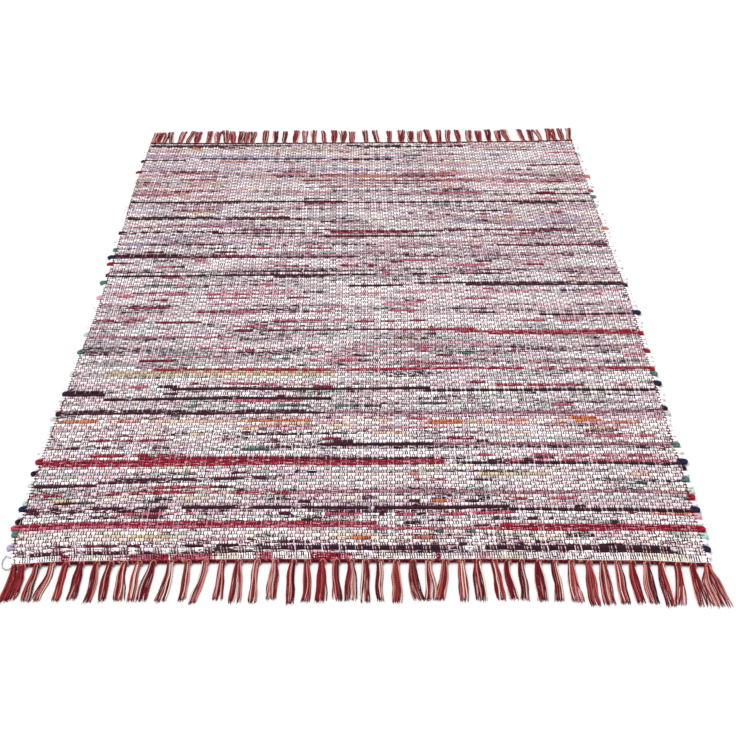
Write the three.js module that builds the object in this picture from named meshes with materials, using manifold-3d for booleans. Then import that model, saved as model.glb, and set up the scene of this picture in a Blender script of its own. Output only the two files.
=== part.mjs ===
// A hand-woven rag rug that lies flat: a striped flat-woven field and, along both of its ends,
// a twined header cord with the warp ends knotted into tassels.
// Millimetres. X runs across the rug, Y along it from the near end to the far end, Z up from
// the floor. Places on the rug are given across and along from its near left corner.
import * as THREE from 'three';
import { mergeVertices } from 'three/addons/utils/BufferGeometryUtils.js';
import Module from 'manifold-3d';

const wasm = await Module();
wasm.setup();

// Driving dimensions
const MIDDLE = { across: 603, along: 907 };
const FIELD = { long: 1800, weftRows: 200, underside: 0 };
const RIB = { crest: 6, valley: 4.7, unevenness: 0.5 };
const WEFT_TURN = { reach: 8.5, unevenness: 5, shoulder: 0.8, crest: 5, valley: 4.2 };
const PART_GAP = 0.3;
const HEADER = { wide: 8, tall: 7, slope: 1.5 };
const KNOT_FOOT = 0.1;
const LOCK = { perTassel: 3, wide: 5, tall: 4.8, apart: 0.7, rootLift: 2, bow: 1.6, trim: 0.1 };
const TASSEL = {
  rootHalf: 6, tipHalf: 7.5, tipWander: 3, clear: 1.2, leanWander: 1.5, leanBend: 1.3, lengthWander: 3,
};

// The edge warps wander a little, as places across at places along.
const SELVEDGES = [
  { along: 0, left: 7, right: 1198 },
  { along: 60, left: -4, right: 1199 },
  { along: 300, left: -5, right: 1204 },
  { along: 600, left: 1, right: 1208 },
  { along: 900, left: 7, right: 1212 },
  { along: 1200, left: 4, right: 1206 },
  { along: 1500, left: -1, right: 1203 },
  { along: 1800, left: 2, right: 1198 },
];

// The two ends of the field aren't quite straight, as places along at places across.
const ENDS = [
  { across: 0, near: 7, far: 1808 },
  { across: 100, near: 14, far: 1805 },
  { across: 400, near: 17, far: 1802 },
  { across: 800, near: 14, far: 1802 },
  { across: 1060, near: 8, far: 1805 },
  { across: 1200, near: 0, far: 1811 },
];
const END_FADE = 250;

// Runs of evenly spaced tassels: the first and last knot's place across, and the length.
const NEAR_RUNS = [
  { tassels: 2, first: 12, last: 25, long: 84 },
  { tassels: 4, first: 50, last: 124, long: 89 },
  { tassels: 5, first: 151, last: 247, long: 94 },
  { tassels: 4, first: 277, last: 366, long: 100 },
  { tassels: 4, first: 394, last: 487, long: 100 },
  { tassels: 6, first: 511, last: 635, long: 98 },
  { tassels: 7, first: 663, last: 830, long: 98 },
  { tassels: 2, first: 853, last: 876, long: 97 },
  { tassels: 3, first: 905, last: 961, long: 98 },
  { tassels: 6, first: 991, last: 1114, long: 104 },
  { tassels: 3, first: 1141, last: 1192, long: 102 },
];
const FAR_RUNS = [
  { tassels: 3, first: 9, last: 39, long: 84 },
  { tassels: 4, first: 60, last: 132, long: 94 },
  { tassels: 3, first: 165, last: 216, long: 98 },
  { tassels: 4, first: 237, last: 291, long: 96 },
  { tassels: 3, first: 326, last: 383, long: 99 },
  { tassels: 3, first: 413, last: 466, long: 99 },
  { tassels: 4, first: 497, last: 574, long: 97 },
  { tassels: 4, first: 613, last: 714, long: 98 },
  { tassels: 6, first: 741, last: 875, long: 96 },
  { tassels: 5, first: 909, last: 1019, long: 95 },
  { tassels: 3, first: 1062, last: 1108, long: 93 },
  { tassels: 4, first: 1131, last: 1191, long: 96 },
];

// Tassels that lie well off straight: which one from the left, and how far its tip lies across.
const NEAR_LEANERS = [
  { tassel: 4, lean: -8 },
  { tassel: 11, lean: -7 },
  { tassel: 12, lean: -5 },
  { tassel: 14, lean: -11 },
  { tassel: 22, lean: 7 },
  { tassel: 27, lean: 10 },
  { tassel: 29, lean: -11 },
  { tassel: 32, lean: 6 },
  { tassel: 33, lean: 5 },
  { tassel: 44, lean: -13 },
  { tassel: 46, lean: 6 },
];
const FAR_LEANERS = [
  { tassel: 4, lean: -7 },
  { tassel: 5, lean: 7 },
  { tassel: 6, lean: 8 },
  { tassel: 10, lean: -9 },
  { tassel: 11, lean: -9 },
  { tassel: 21, lean: -8 },
  { tassel: 26, lean: -8 },
  { tassel: 31, lean: -8 },
  { tassel: 39, lean: -7 },
  { tassel: 40, lean: -9 },
  { tassel: 42, lean: -6 },
  { tassel: 43, lean: 5 },
  { tassel: 46, lean: 7 },
];

// Chance differences: the same number from -1 to 1 each time for a place and a kind of
// unevenness. Each row or tassel is a place, and each thing that varies is a kind.
const KIND = {
  leftTurn: 1, rightTurn: 2, rib: 3, near: { tassel: 20, lock: 60 }, far: { tassel: 40, lock: 80 },
};

function uneven(place, kind) {
  const wave = Math.sin(place * 12.9898 + kind * 78.233) * 43758.5453;
  return 2 * (wave - Math.floor(wave)) - 1;
}

// A column of a table between its rows, eased so that the line has no corners.
function fromTable(table, key, column, at) {
  let row = 0;
  while (row < table.length - 2 && table[row + 1][key] < at) row += 1;
  const [before, after] = [table[row], table[row + 1]];
  const share = THREE.MathUtils.smoothstep(at, before[key], after[key]);
  return THREE.MathUtils.lerp(before[column], after[column], share);
}

// A closed body from rings of the same number of points, with a flat cap at each end.
function loft(rings) {
  const sides = rings[0].length;
  const faces = [];
  for (let ring = 0; ring + 1 < rings.length; ring += 1) {
    for (let side = 0; side < sides; side += 1) {
      const here = ring * sides + side;
      const next = ring * sides + ((side + 1) % sides);
      faces.push(here, next, next + sides, here, next + sides, here + sides);
    }
  }
  const last = (rings.length - 1) * sides;
  for (let side = 1; side + 1 < sides; side += 1) {
    faces.push(0, side + 1, side, last, last + side, last + side + 1);
  }
  return bodyOf(rings.flat(), faces);
}

function bodyOf(points, faces) {
  const geometry = new THREE.BufferGeometry().setFromPoints(points);
  geometry.setIndex(faces);
  return geometry;
}

// Woven field

// The places across the rug where the field's lines have points, as shares of its width.
const STATIONS = [0, 1 / 12, 1 / 3, 4 / 5, 1];

// Two lines to a weft row: the even ones are valleys between rows, the odd ones are crests.
const LINES = 2 * FIELD.weftRows;

// How far the weft turns stand past the edge warp. Two rows and the valley between them make
// one turn, and the turns of the right side lie one row further along than the left side's.
function turnReach(line, side) {
  const place = (line + (side === 'right' ? 2 : 0)) % 4;
  if (place === 0 || line === 0 || line === LINES) return 0;
  const turn = Math.floor((line + (side === 'right' ? 2 : 0)) / 4);
  const kind = side === 'right' ? KIND.rightTurn : KIND.leftTurn;
  const reach = WEFT_TURN.reach + WEFT_TURN.unevenness * uneven(turn, kind);
  return place === 2 ? reach : WEFT_TURN.shoulder * reach;
}

function fieldPoint(line, station) {
  const share = line / LINES;
  const straight = share * FIELD.long;
  const left = fromTable(SELVEDGES, 'along', 'left', straight);
  const right = fromTable(SELVEDGES, 'along', 'right', straight);
  let across = THREE.MathUtils.lerp(left, right, STATIONS[station]);
  const near = fromTable(ENDS, 'across', 'near', across);
  const far = fromTable(ENDS, 'across', 'far', across) - FIELD.long;
  const along = straight + near * Math.exp(-straight / END_FADE)
    + far * Math.exp((straight - FIELD.long) / END_FADE);
  const crest = line % 2 === 1;
  let height = crest ? RIB.crest + RIB.unevenness * uneven(line, KIND.rib + station) : RIB.valley;
  if (station === 0 || station === STATIONS.length - 1) {
    across += station === 0 ? -turnReach(line, 'left') : turnReach(line, 'right');
    height = crest ? WEFT_TURN.crest : WEFT_TURN.valley;
  }
  return new THREE.Vector3(across - MIDDLE.across, along - MIDDLE.along, height);
}

function wovenField() {
  const points = [];
  const faces = [];
  const width = STATIONS.length;
  for (let line = 0; line <= LINES; line += 1) {
    for (let station = 0; station < width; station += 1) points.push(fieldPoint(line, station));
  }
  for (let line = 0; line < LINES; line += 1) {
    for (let station = 0; station + 1 < width; station += 1) {
      const here = line * width + station;
      faces.push(here, here + 1, here + 1 + width, here, here + 1 + width, here + width);
    }
  }
  // The rim runs once round the field, seen from above against the clock.
  const rim = [];
  for (let station = 0; station < width; station += 1) rim.push(station);
  for (let line = 1; line <= LINES; line += 1) rim.push(line * width + width - 1);
  for (let station = width - 2; station >= 0; station -= 1) rim.push(LINES * width + station);
  for (let line = LINES - 1; line > 0; line -= 1) rim.push(line * width);
  const under = points.length;
  for (const corner of rim) {
    points.push(new THREE.Vector3(points[corner].x, points[corner].y, FIELD.underside));
  }
  for (let corner = 0; corner < rim.length; corner += 1) {
    const next = (corner + 1) % rim.length;
    faces.push(under + corner, under + next, rim[next]);
    faces.push(under + corner, rim[next], rim[corner]);
  }
  const outline = rim.map((corner) => new THREE.Vector2(points[corner].x, points[corner].y));
  for (const [a, b, c] of THREE.ShapeUtils.triangulateShape(outline, [])) {
    const upward = THREE.ShapeUtils.area([outline[a], outline[b], outline[c]]) > 0;
    faces.push(under + a, under + (upward ? c : b), under + (upward ? b : c));
  }
  return bodyOf(points, faces);
}

// Fringes

// Each tassel of one end: its knot's place across, its tip's lean, its length and half widths.
function tassels(end) {
  const runs = end === 'near' ? NEAR_RUNS : FAR_RUNS;
  const leaners = end === 'near' ? NEAR_LEANERS : FAR_LEANERS;
  const kind = KIND[end].tassel;
  const all = [];
  for (const run of runs) {
    for (let place = 0; place < run.tassels; place += 1) {
      const number = all.length + 1;
      const leaner = leaners.find((row) => row.tassel === number);
      all.push({
        number,
        root: THREE.MathUtils.lerp(run.first, run.last, place / (run.tassels - 1)),
        lean: leaner ? leaner.lean : TASSEL.leanWander * uneven(number, kind),
        long: run.long + TASSEL.lengthWander * uneven(number, kind + 1),
      });
    }
  }
  const room = (a, b, at) => Math.abs(at(a) - at(b)) / 2 - TASSEL.clear / 2;
  const root = (tassel) => tassel.root;
  const tip = (tassel) => tassel.root + tassel.lean;
  all.forEach((tassel, place) => {
    const beside = [all[place - 1], all[place + 1]].filter(Boolean);
    const wide = TASSEL.tipHalf + TASSEL.tipWander * uneven(tassel.number, kind + 2);
    tassel.rootHalf = Math.min(TASSEL.rootHalf, ...beside.map((one) => room(tassel, one, root)));
    tassel.tipHalf = Math.min(wide, ...beside.map((one) => room(tassel, one, tip)));
  });
  return all;
}

// The header's line of points along the field's end, and which way the tassels point.
function endLine(end) {
  const line = end === 'near' ? 0 : LINES;
  const out = end === 'near' ? -1 : 1;
  const edge = STATIONS.map((share, station) => fieldPoint(line, station));
  return { edge, out };
}

// The header is a low bar with a flat underside and sloping sides.
function header(end) {
  const { edge, out } = endLine(end);
  const { wide, tall, slope } = HEADER;
  const section = [[0, 0], [slope, tall], [wide - slope, tall], [wide, 0]];
  const rings = edge.map((corner) => section.map(([away, up]) => (
    new THREE.Vector3(corner.x, corner.y + out * (PART_GAP + away), up)
  )));
  return loft(out > 0 ? rings.map((ring) => ring.reverse()) : rings);
}

// Where the header's outer side lies along the rug, at a place across it.
function headerSide(end, x) {
  const { edge, out } = endLine(end);
  let step = 0;
  while (step < edge.length - 2 && edge[step + 1].x < x) step += 1;
  const share = (x - edge[step].x) / (edge[step + 1].x - edge[step].x);
  const side = THREE.MathUtils.lerp(edge[step].y, edge[step + 1].y, share);
  return side + out * (PART_GAP + HEADER.wide);
}

// A knot sits astride the header's outer side: its rings from the header outwards.
const KNOT_RINGS = [
  { away: -5.5, half: 4.8, tall: 8.2 },
  { away: 0, half: 6.6, tall: 9 },
  { away: 6.4, half: 6, tall: 7 },
];

function knot(end, tassel) {
  const { out } = endLine(end);
  const x = tassel.root - MIDDLE.across;
  const start = headerSide(end, x);
  const rings = KNOT_RINGS.map(({ away, half, tall }) => {
    const outline = [[-half, KNOT_FOOT], [half, KNOT_FOOT], [half, tall / 2], [0, tall],
      [-half, tall / 2]];
    return outline.map(([across, up]) => (
      new THREE.Vector3(x + across, start + out * away, up)
    ));
  });
  return loft(out > 0 ? rings.map((ring) => ring.reverse()) : rings);
}

// One lock of a tassel: three sides, flat on the floor, from inside the knot to its cut end.
const LOCK_RINGS = [
  { share: 0, wide: 0.7, tall: 0.6, lift: 1 },
  { share: 0.3, wide: 1, tall: 1, lift: 0 },
  { share: 1, wide: 0.75, tall: 0.6, lift: 0 },
];

function lock(end, tassel, place) {
  const { out } = endLine(end);
  const kind = KIND[end].lock;
  const strand = LOCK.perTassel * tassel.number + place;
  const side = place - (LOCK.perTassel - 1) / 2;
  const long = tassel.long * (1 - LOCK.trim * Math.abs(uneven(strand, kind)));
  const bow = LOCK.bow * uneven(tassel.number, kind + 1);
  const x = tassel.root - MIDDLE.across;
  const start = headerSide(end, x);
  const rings = LOCK_RINGS.map((ring) => {
    const half = THREE.MathUtils.lerp(tassel.rootHalf, tassel.tipHalf, ring.share);
    const pitch = (2 * half) / LOCK.perTassel;
    const middle = x + tassel.lean * ring.share ** TASSEL.leanBend
      + bow * Math.sin(Math.PI * ring.share) + side * pitch;
    const wide = Math.min(LOCK.wide, pitch - LOCK.apart) * ring.wide;
    const along = start + out * long * ring.share;
    const foot = LOCK.rootLift * ring.lift;
    return [
      new THREE.Vector3(middle - wide / 2, along, foot),
      new THREE.Vector3(middle + wide / 2, along, foot),
      new THREE.Vector3(middle, along, foot + LOCK.tall * ring.tall),
    ];
  });
  return loft(out > 0 ? rings.map((ring) => ring.reverse()) : rings);
}

function toSolid(geometry) {
  geometry.deleteAttribute('normal');
  geometry.deleteAttribute('uv');
  const merged = mergeVertices(geometry);
  return new wasm.Manifold(new wasm.Mesh({
    numProp: 3,
    vertProperties: new Float32Array(merged.getAttribute('position').array),
    triVerts: new Uint32Array(merged.getIndex().array),
  }));
}

function fromSolid(solid) {
  const mesh = solid.getMesh();
  const geometry = new THREE.BufferGeometry();
  geometry.setAttribute('position', new THREE.BufferAttribute(mesh.vertProperties, 3));
  geometry.setIndex(new THREE.BufferAttribute(mesh.triVerts, 1));
  return geometry;
}

// A header with its knots and their locks, joined into one body.
function fringe(end) {
  let body = toSolid(header(end));
  for (const tassel of tassels(end)) {
    let bundle = toSolid(knot(end, tassel));
    for (let place = 0; place < LOCK.perTassel; place += 1) {
      bundle = bundle.add(toSolid(lock(end, tassel, place)));
    }
    body = body.add(bundle);
  }
  return fromSolid(body);
}

// Finishes and the assembled rug

const ragWeave = new THREE.MeshStandardMaterial({ color: '#c9b0b6', roughness: 0.95, metalness: 0 });
const warpYarn = new THREE.MeshStandardMaterial({ color: '#8e2f2d', roughness: 0.95, metalness: 0 });

function piece(name, geometry, material) {
  const mesh = new THREE.Mesh(geometry, material);
  mesh.name = name;
  return mesh;
}

const rug = new THREE.Group();
rug.add(piece('woven_field', wovenField(), ragWeave));
rug.add(piece('near_fringe', fringe('near'), warpYarn));
rug.add(piece('far_fringe', fringe('far'), warpYarn));

export default rug;
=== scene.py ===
"""Dresses a hand-woven rag rug that lies flat: rag wefts with their turns, warp ends, twined
header cords and a knotted fringe, on a plain pale studio floor.

Sizes in the tables are millimetres on the rug, across and along from its near left corner.
"""
import math
from collections import namedtuple

import bpy
import numpy as np
from mathutils import Matrix, Vector


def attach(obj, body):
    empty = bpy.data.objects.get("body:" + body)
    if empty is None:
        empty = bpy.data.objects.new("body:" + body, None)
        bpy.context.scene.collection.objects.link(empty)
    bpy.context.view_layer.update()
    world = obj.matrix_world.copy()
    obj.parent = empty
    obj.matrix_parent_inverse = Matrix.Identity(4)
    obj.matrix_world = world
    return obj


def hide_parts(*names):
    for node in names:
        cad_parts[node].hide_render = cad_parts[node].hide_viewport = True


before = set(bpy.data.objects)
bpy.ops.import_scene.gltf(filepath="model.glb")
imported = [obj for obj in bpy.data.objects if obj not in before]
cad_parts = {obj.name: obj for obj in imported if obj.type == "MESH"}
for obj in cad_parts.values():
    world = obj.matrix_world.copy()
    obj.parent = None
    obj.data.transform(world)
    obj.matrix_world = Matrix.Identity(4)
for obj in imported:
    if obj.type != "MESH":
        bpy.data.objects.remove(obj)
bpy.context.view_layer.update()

bl_info = {
    "name": "Hand-woven rag rug",
    "version": (1, 0, 0),
    "blender": (4, 5, 0),
    "location": "View3D > Sidebar > Rag rug",
    "description": "Builds a rag rug's wefts, warps, header cords and fringe around its solids",
    "category": "Object",
}

MM = 0.001
MIDDLE_ACROSS = 603
MIDDLE_ALONG = 907
FIELD_WIDE = 1200
FIELD_LONG = 1800
WEFT_ROWS = 200
ROW = FIELD_LONG / WEFT_ROWS
END_FADE = 250
PART_GAP = 0.3
HEADER_WIDE = 8
TURN_REACH = 8.5
TURN_UNEVENNESS = 5

# The edge warps wander a little, as places across at places along.
Selvedge = namedtuple("Selvedge", "along left right")
SELVEDGES = (
    Selvedge(0, 7, 1198),
    Selvedge(60, -4, 1199),
    Selvedge(300, -5, 1204),
    Selvedge(600, 1, 1208),
    Selvedge(900, 7, 1212),
    Selvedge(1200, 4, 1206),
    Selvedge(1500, -1, 1203),
    Selvedge(1800, 2, 1198),
)

# The two ends of the field aren't quite straight, as places along at places across.
FieldEnd = namedtuple("FieldEnd", "across near far")
ENDS = (
    FieldEnd(0, 7, 1808),
    FieldEnd(100, 14, 1805),
    FieldEnd(400, 17, 1802),
    FieldEnd(800, 14, 1802),
    FieldEnd(1060, 8, 1805),
    FieldEnd(1200, 0, 1811),
)

# Runs of evenly spaced tassels: the first and last knot's place across, and the length.
Run = namedtuple("Run", "tassels first last long")
RUNS = {
    "near": (
        Run(2, 12, 25, 84),
        Run(4, 50, 124, 89),
        Run(5, 151, 247, 94),
        Run(4, 277, 366, 100),
        Run(4, 394, 487, 100),
        Run(6, 511, 635, 98),
        Run(7, 663, 830, 98),
        Run(2, 853, 876, 97),
        Run(3, 905, 961, 98),
        Run(6, 991, 1114, 104),
        Run(3, 1141, 1192, 102),
    ),
    "far": (
        Run(3, 9, 39, 84),
        Run(4, 60, 132, 94),
        Run(3, 165, 216, 98),
        Run(4, 237, 291, 96),
        Run(3, 326, 383, 99),
        Run(3, 413, 466, 99),
        Run(4, 497, 574, 97),
        Run(4, 613, 714, 98),
        Run(6, 741, 875, 96),
        Run(5, 909, 1019, 95),
        Run(3, 1062, 1108, 93),
        Run(4, 1131, 1191, 96),
    ),
}

# Tassels that lie well off straight, by number from the left: how far the tip lies across.
LEANS = {
    "near": {4: -8, 11: -7, 12: -5, 14: -11, 22: 7, 27: 10, 29: -11, 32: 6, 33: 5, 44: -13, 46: 6},
    "far": {4: -7, 5: 7, 6: 8, 10: -9, 11: -9, 21: -8, 26: -8, 31: -8, 39: -7, 40: -9, 42: -6,
            43: 5, 46: 7},
}

# Streaks thin out and thicken again over this many millimetres. At most this share of the rag
# under one shows through it, and less where the streak covers well. The streaks of the far half
# cover this much more.
STREAK_STEP = 19
THIN_STREAK = 0.8
FAR_COVER = 0.12

# The kinds of unevenness that the part's source has too, under the same numbers, so that the
# turns' reach and the tassels' lean and length are alike in both.
CHANCE_OF = {"left turn": 1, "right turn": 2, "near tassel": 20, "far tassel": 40}

# The rags that the wefts were cut from: the colour, first given and then adjusted to bring areas
# of the render near the photo's mean colours, how far a run of it shows along its row in
# millimetres, the rag that marls it with the share of that, and how thick it is.
Rag = namedtuple("Rag", "colour run marl share bulk")
RAGS = {
    "white": Rag("#FCEFF2", 70, "wine", 0.2, 0),
    "bleached": Rag("#FFFFFF", 40, "white", 0.3, 0),
    "blush": Rag("#F1DAE1", 55, "wine", 0.24, 0),
    "pink": Rag("#D6A2AE", 40, "wine", 0.26, 0.1),
    "mauve": Rag("#DAC5CE", 50, "aubergine", 0.37, -0.1),
    "grey": Rag("#DCD8DA", 50, "black", 0.34, -0.1),
    "cream": Rag("#F4E9E0", 60, "peach", 0.14, 0),
    "straw": Rag("#D0BC96", 34, "grey", 0.26, 0.1),
    "peach": Rag("#E3B79F", 30, "cream", 0.35, 0.2),
    "orange": Rag("#CC7444", 18, "coral", 0.35, 0.3),
    "coral": Rag("#C4766A", 16, "peach", 0.3, 0.3),
    "rose": Rag("#B24A60", 24, "pink", 0.34, 0.3),
    "crimson": Rag("#9A152C", 22, "pink", 0.3, 0.6),
    "cherry": Rag("#861430", 22, "pink", 0.3, 0.3),
    "wine": Rag("#5E1730", 20, "rose", 0.3, 0),
    "aubergine": Rag("#3E1C2C", 20, "mauve", 0.12, 0.2),
    "black": Rag("#28161F", 18, "aubergine", 0.3, 0.2),
    "dusk": Rag("#986074", 50, "pink", 0.4, 0),
    "plum": Rag("#2A1020", 18, "black", 0.3, 1.5),
    "navy": Rag("#1C2140", 16, "black", 0.3, 0.3),
    "teal": Rag("#4C746D", 14, "black", 0.4, 0),
    "mint": Rag("#A9CFC2", 18, "white", 0.3, 0),
    "sage": Rag("#C8CEC9", 22, "black", 0.32, -0.1),
    "lilac": Rag("#AEA3BE", 44, "white", 0.3, 0),
}

# The ground changes along the rug. Each zone ends at a place along, and its rags are weights.
Zone = namedtuple("Zone", "to rags")
ZONES = (
    Zone(22, {"white": 6, "bleached": 8, "blush": 2, "cream": 5}),
    Zone(62, {"white": 11, "blush": 5, "mauve": 6, "grey": 3, "aubergine": 0.7}),
    Zone(104, {"white": 14, "blush": 4, "cream": 5, "grey": 2, "sage": 1}),
    Zone(180, {"white": 11, "blush": 5, "mauve": 5, "grey": 4, "aubergine": 0.3}),
    Zone(285, {"white": 12, "blush": 5, "grey": 4, "mauve": 2, "cream": 3, "sage": 2}),
    Zone(400, {"white": 11, "blush": 5, "mauve": 4, "grey": 5, "sage": 1, "aubergine": 0.2}),
    Zone(445, {"white": 8, "blush": 6, "cream": 4, "peach": 2, "mauve": 4, "pink": 1}),
    Zone(540, {"white": 11, "blush": 4, "grey": 7, "sage": 3, "mauve": 4, "aubergine": 0.2}),
    Zone(640, {"white": 9, "blush": 5, "mauve": 5, "grey": 6, "cream": 2, "wine": 0.2}),
    Zone(790, {"white": 9, "blush": 5, "mauve": 6, "grey": 7, "sage": 2, "pink": 1, "wine": 0.2}),
    Zone(900, {"white": 10, "blush": 6, "pink": 1, "mauve": 6, "grey": 6, "rose": 0.2}),
    Zone(1080, {"white": 11, "blush": 6, "pink": 1, "mauve": 5, "grey": 6, "rose": 0.2}),
    Zone(1200, {"white": 10, "blush": 6, "pink": 1, "mauve": 6, "grey": 6, "wine": 0.2}),
    Zone(1320, {"white": 10, "blush": 6, "pink": 1, "mauve": 5, "lilac": 0.7, "cream": 3,
                "grey": 5}),
    Zone(1430, {"white": 10, "blush": 6, "pink": 1.5, "mauve": 5, "grey": 5, "cream": 2}),
    Zone(1540, {"white": 10, "blush": 6, "pink": 3, "mauve": 4, "cream": 3, "grey": 4,
                "peach": 0.6}),
    Zone(1620, {"white": 10, "blush": 6, "pink": 2.5, "mauve": 4, "cream": 4, "peach": 1}),
    Zone(1730, {"white": 10, "blush": 6, "lilac": 0.8, "grey": 5, "mauve": 4, "cream": 3,
                "pink": 1}),
    Zone(1778, {"white": 10, "blush": 5, "cream": 6, "peach": 0.7, "mauve": 3, "pink": 1.5}),
    Zone(1830, {"white": 10, "blush": 6, "lilac": 0.6, "mauve": 4, "grey": 4, "pink": 1}),
)

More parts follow.
